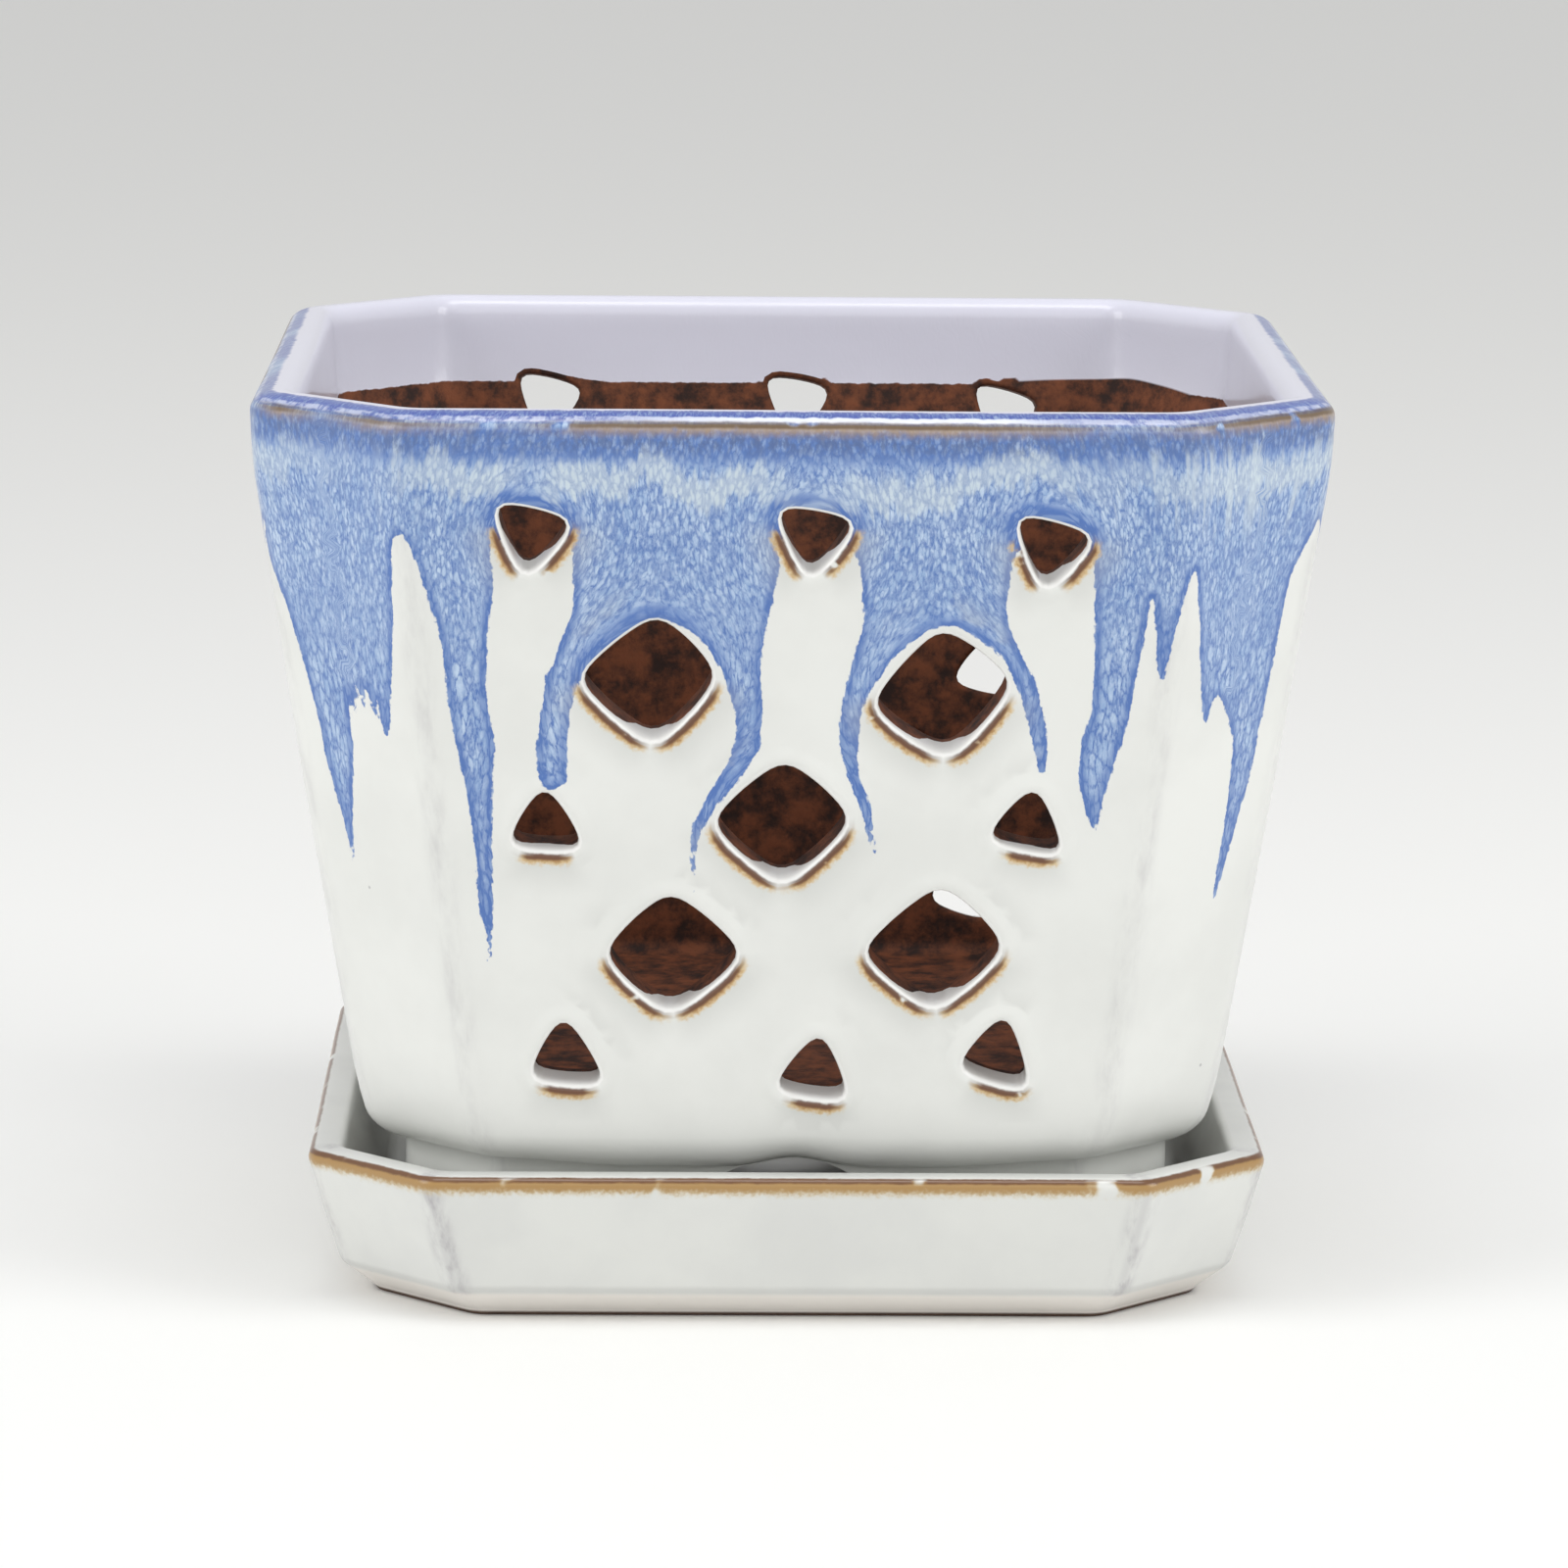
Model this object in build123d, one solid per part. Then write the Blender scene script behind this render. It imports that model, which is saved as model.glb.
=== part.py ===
from build123d import *

import os
from math import atan2, degrees, sqrt

# Square orchid pot with slotted walls, standing in its saucer. Both are stoneware.
# Millimetres, +Z up, +X to the right of the front wall, the front wall faces -Y.
# The origin is on the ground, under the centre of the saucer.

# Pot: body
rim_width = 210.0            # across the flat walls at the rim
rim_chamfer = 29.0           # leg of the cut corner at the rim
base_width = 164.0           # across the flat walls at the body's lower edge
base_chamfer = 22.7          # leg of the cut corner at the lower edge
body_height = 149.6          # from the lower edge to the rim
heel_height = 12.0           # the lowest stretch, which curves out more than the wall above
heel_out = 3.1               # how far the wall moves out over the heel
heel_radius = 6.0            # round of the lower edge
band_height = 13.6           # the top stretch, which stands nearly upright
band_out = 0.6               # how far the wall moves out over the band
corner_radius = 10.0         # soft upright edges, outside
inner_corner_radius = 7.5    # soft upright edges, inside
wall = 9.5                   # wall, measured level
rim_radius = 4.0             # round of the rim, outside and inside
rim_round_share = 0.45       # most of a wall that one rim round may take
edge_round_share = 0.85      # most of an upright edge's radius that a level round may take

# Pot: floor and foot
floor_rise = 2.0             # underside of the floor above the body's lower edge
floor_thickness = 8.0
floor_radius = 6.0           # round between the floor and the walls, inside
foot_height = 19.6           # from the saucer's floor to the body's lower edge
foot_inset = 6.6             # foot stands in from the body's lower edge
foot_wall = 11.0
foot_corner_radius = 6.0
foot_edge_radius = 1.2       # round of the edge that the foot stands on
arch_width = 60.0            # notch at the middle of each side of the foot, at its base
arch_rise = 1.3              # top of the notch above the body's lower edge
drain_diameter = 20.0        # hole at the middle of the floor

# Pot: slots, cut square to the leaning wall
diamond_width = 28.0         # corner to corner, before the corners are rounded
diamond_height = 26.6
diamond_corner_radius = 3.0
triangle_width = 17.0
triangle_height = 15.2
triangle_corner_radius = 2.2

# Saucer
saucer_height = 29.8
saucer_wall = 6.5
saucer_floor = 8.0
saucer_foot_height = 3.0
saucer_foot_inset = 4.5      # foot stands in from the wall's lower edge
saucer_foot_width = 9.0      # width of the ring that the saucer stands on
saucer_flare = 8.7           # how far the wall leans out from its lower edge to the rim
saucer_clearance = 5.8       # between the pot's foot and the saucer's wall, at the floor
saucer_corner_room = 3.0     # how much less the saucer's corners are cut than an even gap asks
saucer_chamfer_growth = 1.8  # the corner cut grows this much up to the rim
saucer_heel_radius = 5.0
saucer_corner_radius = 6.0
saucer_inner_corner_radius = 4.0
saucer_floor_radius = 3.5
saucer_rim_radius = 2.0
saucer_foot_edge_radius = 0.8

overrun = 5.0                # how far a cutter runs past what it cuts

# A level step outwards changes the leg of a cut corner by this share of the step
chamfer_step_share = 2 - sqrt(2)

# Slots of one wall: kind, place across as a share of half the base width, height as a share
# of the body's height, and turn in degrees seen from outside
slot_place_shares = [
    ("triangle_down", -0.610, 0.843, -13),
    ("triangle_down", 0.044, 0.842, -10),
    ("triangle_down", 0.593, 0.829, -15),
    ("diamond", -0.329, 0.654, 0),
    ("diamond", 0.349, 0.637, 6),
    ("triangle_up", -0.577, 0.459, -3),
    ("diamond", -0.022, 0.466, 1),
    ("triangle_up", 0.552, 0.461, -12),
    ("diamond", -0.279, 0.288, 0),
    ("diamond", 0.340, 0.296, 1),
    ("triangle_up", -0.527, 0.144, -5),
    ("triangle_up", 0.059, 0.126, -9),
    ("triangle_up", 0.490, 0.149, -17),
]
# A triangle turns about the point this share of its height above its base
triangle_centre_share = 1 / 3

# Levels of the body, counted from its lower edge
band_bottom = body_height - band_height
floor_top = floor_rise + floor_thickness
heel_width = base_width + 2 * heel_out
band_width = rim_width - 2 * band_out

# Levels of the whole part
saucer_floor_top = saucer_foot_height + saucer_floor
body_bottom = saucer_floor_top + foot_height


def corner_cut_square(width, chamfer, radius, level):
    """A square face with cut corners and soft edges, level, at a height."""
    half = width / 2
    flat = half - chamfer
    points = [
        (flat, -half), (half, -flat), (half, flat), (flat, half),
        (-flat, half), (-half, flat), (-half, -flat), (-flat, -half),
    ]
    face = make_face(Polyline(*points, close=True))
    return Pos(0, 0, level) * fillet(face.vertices(), radius)


def tower(sections):
    """A solid with straight sides between level sections given as width, chamfer, radius, level."""
    return loft([corner_cut_square(*section) for section in sections], ruled=True)


def between(level, low_level, high_level, low_value, high_value):
    """The value at a level on the straight line between two levels."""
    return low_value + (high_value - low_value) * (level - low_level) / (high_level - low_level)


def round_bottom(solid, radius, upright_radius):
    """Round the lowest face's edges, by no more than the upright edges allow."""
    bottom = solid.faces().sort_by(Axis.Z)[0]
    return fillet(bottom.edges(), min(radius, upright_radius * edge_round_share))


def round_rim(shell, radius):
    """Round the outer and inner edges of a shell's level rim."""
    rim = shell.faces().sort_by(Axis.Z)[-1]
    shell = fillet(rim.outer_wire().edges(), radius)
    rim = shell.faces().sort_by(Axis.Z)[-1]
    return fillet(rim.inner_wires()[0].edges(), radius)


def body_width(level):
    """Width of the pot's body across its flat walls."""
    if level <= heel_height:
        return between(level, 0, heel_height, base_width, heel_width)
    if level <= band_bottom:
        return between(level, heel_height, band_bottom, heel_width, band_width)
    return between(level, band_bottom, body_height, band_width, rim_width)


def body_chamfer(level):
    """Leg of the body's cut corner."""
    return between(level, 0, body_height, base_chamfer, rim_chamfer)


def body_shell():
    """The pot's walls, with the solid floor in them, on the body's own levels."""
    outer = tower([
        (body_width(level), body_chamfer(level), corner_radius, level)
        for level in (0, heel_height, band_bottom, body_height)
    ])
    outer = round_bottom(outer, heel_radius, corner_radius)
    inner_chamfer_loss = wall * chamfer_step_share
    sections = [
        (body_width(level) - 2 * wall, body_chamfer(level) - inner_chamfer_loss, inner_corner_radius, level)
        for level in (floor_top, band_bottom, body_height)
    ]
    cavity = round_bottom(tower(sections), floor_radius, inner_corner_radius)
    shell = outer - cavity
    return round_rim(shell, min(rim_radius, wall * rim_round_share))


def slot_outline(kind):
    """A slot's outline with rounded corners, centred, upright."""
    if kind == "diamond":
        half_width = diamond_width / 2
        half_height = diamond_height / 2
        points = [(0, -half_height), (half_width, 0), (0, half_height), (-half_width, 0)]
        radius = diamond_corner_radius
    else:
        half_width = triangle_width / 2
        base = -triangle_height * triangle_centre_share
        tip = triangle_height + base
        points = [(-half_width, base), (half_width, base), (0, tip)]
        if kind == "triangle_down":
            points = [(-x, -y) for x, y in points]
        radius = triangle_corner_radius
    face = make_face(Polyline(*points, close=True))
    return fillet(face.vertices(), radius)


def front_wall_slots():
    """Cutters for the slots of the front wall, each square to the wall."""
    lean = degrees(atan2((band_width - heel_width) / 2, band_bottom - heel_height))
    cutters = []
    for kind, across_share, height_share, turn in slot_place_shares:
        level = height_share * body_height
        across = across_share * base_width / 2
        place = Pos(across, -body_width(level) / 2, level) * Rot(90 + lean, 0, 0) * Rot(0, 0, turn)
        outline = Pos(0, 0, overrun) * slot_outline(kind)
        cutters.append(place * extrude(outline, -(wall + 2 * overrun)))
    return cutters


def all_slots():
    """Cutters for the four walls. Opposite walls carry their slots in line with each other."""
    front = front_wall_slots()
    back = [mirror(cutter, Plane.XZ) for cutter in front]
    front_and_back = front + back
    sides = [Rot(0, 0, 90) * cutter for cutter in front_and_back]
    return front_and_back + sides


def foot_solid():
    """The pot's foot as a solid block, up to the underside of the floor."""
    width = base_width - 2 * foot_inset
    chamfer = base_chamfer - foot_inset * chamfer_step_share
    block = tower([
        (width, chamfer, foot_corner_radius, -foot_height),
        (width, chamfer, foot_corner_radius, floor_rise),
    ])
    return round_bottom(block, foot_edge_radius, foot_corner_radius)


def foot_hollow():
    """The space under the pot's floor, inside the foot."""
    inset = foot_inset + foot_wall
    width = base_width - 2 * inset
    chamfer = base_chamfer - inset * chamfer_step_share
    return tower([
        (width, chamfer, inner_corner_radius, -foot_height - overrun),
        (width, chamfer, inner_corner_radius, floor_rise),
    ])


def foot_arches():
    """Cutters for the notches of the foot, one through each pair of opposite sides."""
    outline = Ellipse(arch_width / 2, foot_height + arch_rise)
    through = base_width / 2
    along_y = Pos(0, 0, -foot_height) * Rot(90, 0, 0) * extrude(outline, through, both=True)
    return [along_y, Rot(0, 0, 90) * along_y]


def drain_hole():
    """Cutter for the hole in the pot's floor."""
    height = floor_top + overrun
    return Pos(0, 0, height / 2) * Cylinder(drain_diameter / 2, height)


def make_pot():
    """The pot, standing on the saucer's floor."""
    pot = body_shell() + foot_solid() - foot_hollow()
    pot = pot - (foot_arches() + [drain_hole()] + all_slots())
    return Pos(0, 0, body_bottom) * pot


def saucer_section(level, inset, radius):
    """A level section of the saucer's wall, moved in from its outside."""
    rise = level - saucer_foot_height
    full_rise = saucer_height - saucer_foot_height
    floor_rise_share = saucer_floor / full_rise
    pot_foot_half = base_width / 2 - foot_inset
    pot_foot_chamfer = base_chamfer - foot_inset * chamfer_step_share
    gap_and_wall = saucer_clearance + saucer_wall
    floor_half = pot_foot_half + gap_and_wall
    floor_chamfer = pot_foot_chamfer + gap_and_wall * chamfer_step_share - saucer_corner_room
    rise_share = rise / full_rise - floor_rise_share
    half = floor_half + saucer_flare * rise_share - inset
    chamfer = floor_chamfer + saucer_chamfer_growth * rise_share - inset * chamfer_step_share
    return (2 * half, chamfer, radius, level)


def make_saucer():
    """The saucer, standing on the ground."""
    outer = tower([
        saucer_section(saucer_foot_height, 0, saucer_corner_radius),
        saucer_section(saucer_height, 0, saucer_corner_radius),
    ])
    outer = round_bottom(outer, saucer_heel_radius, saucer_corner_radius)
    cavity = tower([
        saucer_section(saucer_floor_top, saucer_wall, saucer_inner_corner_radius),
        saucer_section(saucer_height, saucer_wall, saucer_inner_corner_radius),
    ])
    cavity = round_bottom(cavity, saucer_floor_radius, saucer_inner_corner_radius)
    tray = round_rim(outer - cavity, min(saucer_rim_radius, saucer_wall * rim_round_share))

    width, chamfer, radius, _ = saucer_section(saucer_foot_height, saucer_foot_inset, saucer_corner_radius)
    foot = tower([(width, chamfer, radius, 0), (width, chamfer, radius, saucer_floor_top)])
    foot = round_bottom(foot, saucer_foot_edge_radius, saucer_corner_radius)
    inset = saucer_foot_inset + saucer_foot_width
    width, chamfer, radius, _ = saucer_section(saucer_foot_height, inset, saucer_corner_radius)
    recess = tower([(width, chamfer, radius, -overrun), (width, chamfer, radius, saucer_foot_height)])
    return tray + foot - recess


def main():
    """Build both pieces and write one STEP file for each."""
    os.makedirs("parts", exist_ok=True)
    pieces = {"pot": make_pot(), "saucer": make_saucer()}
    for name, shape in pieces.items():
        export_step(shape, f"parts/{name}.step")


main()
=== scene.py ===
"""Square orchid pot with slotted walls, standing in its saucer.

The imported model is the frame. Both pieces are shaped here again with their softened edges, raised slot
lips and glazes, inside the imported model's box. Lengths are millimetres until a mesh is written.
"""
import logging
from dataclasses import dataclass, field
from enum import Enum
from math import cos, pi, radians, sin, sqrt, tan

import bmesh
import bpy
import numpy as np
from mathutils import Matrix, Vector
from mathutils.geometry import delaunay_2d_cdt


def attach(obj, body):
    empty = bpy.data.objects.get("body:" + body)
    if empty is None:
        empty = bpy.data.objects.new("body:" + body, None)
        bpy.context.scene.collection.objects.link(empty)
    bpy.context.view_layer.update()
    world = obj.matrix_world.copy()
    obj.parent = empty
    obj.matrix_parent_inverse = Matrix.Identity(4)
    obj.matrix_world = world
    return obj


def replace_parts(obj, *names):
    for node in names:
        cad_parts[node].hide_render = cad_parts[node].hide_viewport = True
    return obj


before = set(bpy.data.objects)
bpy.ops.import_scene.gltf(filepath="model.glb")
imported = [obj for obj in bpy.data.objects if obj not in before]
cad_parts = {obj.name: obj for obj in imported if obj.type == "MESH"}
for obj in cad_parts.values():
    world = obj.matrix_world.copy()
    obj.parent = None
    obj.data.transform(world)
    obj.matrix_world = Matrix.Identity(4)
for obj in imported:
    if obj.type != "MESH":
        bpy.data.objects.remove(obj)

logging.basicConfig(level=logging.INFO, format="%(message)s")
log = logging.getLogger("orchid_pot")

MM = 0.001
MERGE = 0.004
"""Points of the pot nearer than this become one."""
FAR = 12.0
"""Stands for any greater distance from the blue's line or from a slot."""
BARE = 5.0
"""The attribute bare_cut runs from minus this, surely glazed, to this, surely bare."""
ROUNDED = 1e-6
"""Added to a row's share of the drain hole's circle, so that a share of 0 still counts as rounded."""
HALF_ROOT = sqrt(0.5)
EDGE_TRIM = tan(pi / 8)
"""An upright edge's round starts this share of its radius before the sharp corner."""
STEP_LEG = 2 - sqrt(2)
"""A level step inwards shortens a cut corner's leg by this share of the step."""

Outline = tuple[tuple[float, float], ...]
Socket = bpy.types.NodeSocket
Outputs = bpy.types.NodeOutputs
Value = float | tuple[float, ...] | Socket
Range = tuple[float, float]
Band = tuple[Range, Range]


def smoothstep(value: np.ndarray, low: float, high: float) -> np.ndarray:
    """Ease from 0 at low to 1 at high."""
    share = np.clip((np.asarray(value, float) - low) / (high - low), 0, 1)
    return share * share * (3 - 2 * share)


class Wall(Enum):
    """The four walls, as quarter turns from the front, with the hand of their slots."""

    FRONT = (0, 1)
    RIGHT = (1, 1)
    BACK = (2, -1)
    LEFT = (3, -1)

    @property
    def quarter(self) -> int:
        """Quarter turns from the front wall, seen from above."""
        return self.value[0]

    @property
    def hand(self) -> int:
        """1 where the slots lie as on the front wall, -1 where they are its mirror image."""
        return self.value[1]

    def turned(self, x: np.ndarray, out: np.ndarray, level: np.ndarray) -> np.ndarray:
        """Turn places on the front wall to this wall.

        Args:
            x: place to the right of the wall's middle, seen from outside.
            out: distance out from the pot's middle.
            level: height.

        Returns:
            Points, one row each.
        """
        c, s = ((1, 0), (0, 1), (-1, 0), (0, -1))[self.quarter]
        x, out, level = np.broadcast_arrays(x, out, level)
        return np.stack([x * c + out * s, x * s - out * c, level], axis=-1).astype(float)


@dataclass(frozen=True)
class Section:
    """A level section: a square with cut corners and soft upright edges."""

    half: float | np.ndarray
    leg: float | np.ndarray
    radius: float | np.ndarray

    def flat(self) -> float | np.ndarray:
        """Half the length of a main wall's flat."""
        return self.half - self.leg - self.radius * EDGE_TRIM

    def bevel(self) -> float | np.ndarray:
        """Half the length of a cut corner's flat."""
        return self.leg * HALF_ROOT - self.radius * EDGE_TRIM

    def end(self) -> float | np.ndarray:
        """Length from a wall's middle to the middle of its cut corner."""
        return self.flat() + self.radius * pi / 4 + self.bevel()

    def across(self, share: np.ndarray) -> np.ndarray:
        """Length along the section from the wall's middle.

        Args:
            share: 0 to 1 on the flat, 1 to 2 round the edge, 2 to 3 on the cut corner, signed.

        Returns:
            Signed lengths.
        """
        size = np.abs(share)
        length = np.minimum(size, 1) * self.flat()
        length = length + np.clip(size - 1, 0, 1) * self.radius * pi / 4
        length = length + np.clip(size - 2, 0, 1) * self.bevel()
        return np.sign(share) * length

    def place(self, across: np.ndarray) -> tuple[np.ndarray, np.ndarray]:
        """Place on the section.

        Args:
            across: signed length from the wall's middle.

        Returns:
            Place to the right of the middle, and distance out.
        """
        size = np.abs(across)
        flat = self.flat()
        turn = np.clip((size - flat) / self.radius, 0, pi / 4)
        run = np.maximum(size - flat - self.radius * pi / 4, 0) * HALF_ROOT
        x = np.minimum(size, flat) + self.radius * np.sin(turn) + run
        out = self.half - self.radius * (1 - np.cos(turn)) - run
        return np.sign(across) * x, out


@dataclass(frozen=True)
class BodyShape:
    """How the pot's leaning wall widens with height."""

    levels: tuple[float, ...] = (20.0, 30.6, 42.6, 104.0, 166.6, 180.2, 190.0)
    halves: tuple[float, ...] = (78.9, 82.0, 85.1, 95.0, 104.1, 104.7, 105.1)
    leg_levels: tuple[float, float] = (30.6, 180.2)
    legs: tuple[float, float] = (22.7, 29.0)
    radius: float = 10.0
    wall: float = 9.5
    radius_loss: float = 2.5
    softness: float = 4.0

    def section(self, level: np.ndarray, inset: float | np.ndarray = 0.0) -> Section:
        """The section at a height.

        Args:
            level: height, or heights.
            inset: how far inside the outer face.

        Returns:
            The section.
        """
        level = np.asarray(level, float)
        taps = np.linspace(-self.softness, self.softness, 7)
        half = np.mean([np.interp(level + tap, self.levels, self.halves) for tap in taps], axis=0)
        low, high = self.leg_levels
        leg = self.legs[0] + (level - low) / (high - low) * (self.legs[1] - self.legs[0])
        radius = self.radius - inset / self.wall * self.radius_loss
        return Section(half - inset, leg - inset * STEP_LEG, radius)


class SlotKind(Enum):
    """Slot shapes.

    Each has its number of points, the length of its corner rounds, the bulge of its sides, the angles of
    its low sides, and the radius of the circle that the running glaze flows round.
    """

    DIAMOND = (44, 4.2, 0.4, (-135.0, -45.0), 11.0)
    TRIANGLE_UP = (28, 3.4, 0.35, (-90.0,), 6.5)
    TRIANGLE_DOWN = (28, 3.4, 0.35, (-150.0, -30.0), 6.5)


@dataclass(frozen=True)
class Slot:
    """One slot of the front wall: its middle, and its rounded tips from there."""

    kind: SlotKind
    across: float
    level: float
    tips: Outline
    glazed: float = 1.1
    pooled: float = 8.0
    pool_half: float = 3.8

    def outline(self, hand: int) -> tuple[np.ndarray, np.ndarray]:
        """The slot's edge on the wall.

        Args:
            hand: -1 for the mirror image.

        Returns:
            Points round the edge, and their outward directions, as across and level.
        """
        count, rounding, bulge, _, _ = self.kind.value
        tips = np.array(self.tips, float)
        ahead = np.roll(tips, -1, axis=0)
        turning = np.sum(tips[:, 0] * ahead[:, 1] - tips[:, 1] * ahead[:, 0])
        if turning < 0:
            tips = tips[::-1]
        sharp = []
        for index, tip in enumerate(tips):
            back = tips[index - 1] - tip
            on = tips[(index + 1) % len(tips)] - tip
            pull = back / np.linalg.norm(back) + on / np.linalg.norm(on)
            sharp.append(tip - rounding * pull / 4)
        path = []
        for index, corner in enumerate(sharp):
            back = sharp[index - 1] - corner
            on = sharp[(index + 1) % len(sharp)] - corner
            start = corner + back / np.linalg.norm(back) * rounding
            stop = corner + on / np.linalg.norm(on) * rounding
            after = sharp[(index + 1) % len(sharp)] - on / np.linalg.norm(on) * rounding
            outward = np.array([on[1], -on[0]]) / np.linalg.norm(on)
            middle = (stop + after) / 2 + outward * bulge * 2
            for share in np.linspace(0, 1, 12, endpoint=False):
                path.append(start * (1 - share) ** 2 + corner * 2 * share * (1 - share) + stop * share ** 2)
            for share in np.linspace(0, 1, 12, endpoint=False):
                path.append(stop * (1 - share) ** 2 + middle * 2 * share * (1 - share) + after * share ** 2)
        closed = np.array(path + path[:1])
        steps = np.concatenate([[0], np.cumsum(np.linalg.norm(np.diff(closed, axis=0), axis=1))])
        places = np.linspace(0, steps[-1], count, endpoint=False)
        points = np.stack([np.interp(places, steps, closed[:, axis]) for axis in (0, 1)], axis=-1)
        for _ in range(2):
            points = points / 2 + (np.roll(points, 1, axis=0) + np.roll(points, -1, axis=0)) / 4
        points = points + (self.across, self.level)
        if hand < 0:
            points = (points * (-1, 1))[::-1]
        along = np.roll(points, -1, axis=0) - np.roll(points, 1, axis=0)
        out = np.stack([along[:, 1], -along[:, 0]], axis=-1)
        return points, out / np.linalg.norm(out, axis=1)[:, None]

    def low_share(self, points: np.ndarray, hand: int) -> np.ndarray:
        """How far each point lies beside one of the slot's low sides, from 0 to 1.

        Args:
            points: across and level.
            hand: -1 for the mirror image.

        Returns:
            One share for each point.
        """
        away = points - (self.across * hand, self.level)
        angle = np.arctan2(away[:, 1], away[:, 0] * hand)
        shares = [np.cos(angle - radians(side)) for side in self.kind.value[3]]
        return smoothstep(np.max(shares, axis=0), 0.69, 0.9)

    def glaze_depth(self, points: np.ndarray, hand: int) -> np.ndarray:
        """How deep the glaze runs into the cut, deepest where it pools at the bottom.

        Args:
            points: the slot's edge, as across and level.
            hand: -1 for the mirror image.

        Returns:
            One depth for each point.
        """
        lowest = points[np.argmin(points[:, 1]), 0]
        middle = lowest if self.kind is not SlotKind.TRIANGLE_UP else self.across * hand
        pool = np.exp(-((points[:, 0] - middle) / self.pool_half) ** 2)
        return self.glazed + self.pooled * pool * (points[:, 1] < self.level)


DOWN = SlotKind.TRIANGLE_DOWN
UP = SlotKind.TRIANGLE_UP
DIAMOND = SlotKind.DIAMOND
SLOTS = (
    Slot(DOWN, -50.0, 156.7, ((-6.2, 5.5), (7.3, 2.3), (-1.0, -7.8))),
    Slot(DOWN, 3.6, 156.6, ((-6.4, 5.1), (7.2, 2.7), (-0.7, -7.8))),
    Slot(DOWN, 48.6, 154.6, ((-6.2, 5.8), (7.4, 2.0), (-1.1, -7.8))),
    Slot(DIAMOND, -27.0, 128.5, ((1.0, 11.9), (-13.3, -0.1), (0.4, -12.4), (11.9, 0.7))),
    Slot(DIAMOND, 28.6, 125.9, ((-0.5, 12.2), (-12.9, -2.3), (0.9, -12.1), (12.5, 2.2))),
    Slot(UP, -47.3, 99.2, ((-0.2, 7.3), (-6.5, -3.3), (6.8, -4.0)), pooled=2.4, pool_half=6.0),
    Slot(DIAMOND, -1.8, 100.3, ((0.3, 11.6), (-12.8, -0.2), (0.0, -11.9), (12.5, 0.5))),
    Slot(UP, 45.3, 99.6, ((1.0, 7.3), (-7.2, -2.2), (6.2, -5.1)), pooled=2.4, pool_half=6.0),
    Slot(DIAMOND, -22.9, 73.7, ((-0.4, 11.7), (-12.3, -0.1), (-0.3, -11.5), (12.9, 0.0))),
    Slot(DIAMOND, 27.9, 74.9, ((0.9, 12.2), (-13.4, -0.8), (-0.2, -11.8), (12.7, 0.4))),
    Slot(UP, -43.2, 52.2, ((-0.5, 8.0), (-6.5, -3.5), (7.0, -4.6)), pool_half=14.0),
    Slot(UP, 4.8, 49.4, ((1.0, 7.7), (-7.1, -2.8), (6.1, -4.9)), pool_half=14.0),
    Slot(UP, 40.2, 52.9, ((1.3, 8.1), (-7.0, -2.0), (5.8, -6.1)), pool_half=14.0),
)

FRONT_LINE: Outline = (
    (-74, 156), (-71, 149), (-67, 135), (-66, 123), (-63, 109), (-61, 97), (-60, 84), (-58.7, 78),
    (-58, 71), (-57.3, 81), (-57.6, 100), (-57, 115), (-58.6, 126), (-58, 138), (-57, 148), (-57, 155),
    (-50, 157), (-43, 157), (-42, 144), (-45, 134), (-47, 129), (-48, 122), (-49, 115), (-48.5, 109),
    (-46, 106.5), (-43.3, 108.5), (-43, 118), (-42, 124), (-40, 129), (-33, 137), (-26, 140.5),
    (-19, 137.5), (-14, 131), (-11, 121), (-11, 116), (-14, 109), (-18.6, 101), (-19.4, 94), (-19, 86),
    (-18.2, 95), (-15.5, 102), (-8, 112), (-6, 118), (-6, 134), (-3, 150), (-3, 156), (3.5, 157),
    (11, 154), (13, 140), (10, 128), (9, 115), (12.6, 104), (16, 94), (14.8, 104), (12.6, 111),
    (13, 121), (15, 127), (22, 136), (29, 139.5), (36, 136.5), (41, 131), (44.6, 121), (46, 115),
    (48, 109.5), (48.6, 115), (46.6, 127), (41, 139), (41, 150), (43, 155), (49, 156), (56, 153),
    (57, 143), (57, 124), (55, 116), (55, 108), (58, 99), (60, 107), (64, 121), (67, 140), (68, 145),
    (69, 139), (69.3, 132), (70.7, 128.5), (72, 135),
)
LEFT_CORNER_LINE: Outline = (
    (-20, 149), (-16, 140), (-13, 128), (-11, 117), (-10, 108), (-7.6, 96), (-7, 88), (-5, 98), (-2, 112),
    (-1.8, 119), (-0.9, 124), (0.5, 118.5), (1.4, 125), (3, 120), (4, 125.5), (5.4, 118), (6.3, 123),
    (8, 115.5), (10, 120), (14, 137), (17, 154),
)
RIGHT_CORNER_LINE: Outline = (
    (-17, 150), (-14, 143), (-8, 122), (-6.2, 119), (-4, 124), (2, 116), (4, 104), (4.4, 95), (5, 82),
    (9, 103), (11, 121), (12, 143), (15, 151), (18, 156),
)


def mirrored(line: Outline) -> Outline:
    """The mirror image of a line, still from left to right."""
    return tuple((-across, level) for across, level in reversed(line))


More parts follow.
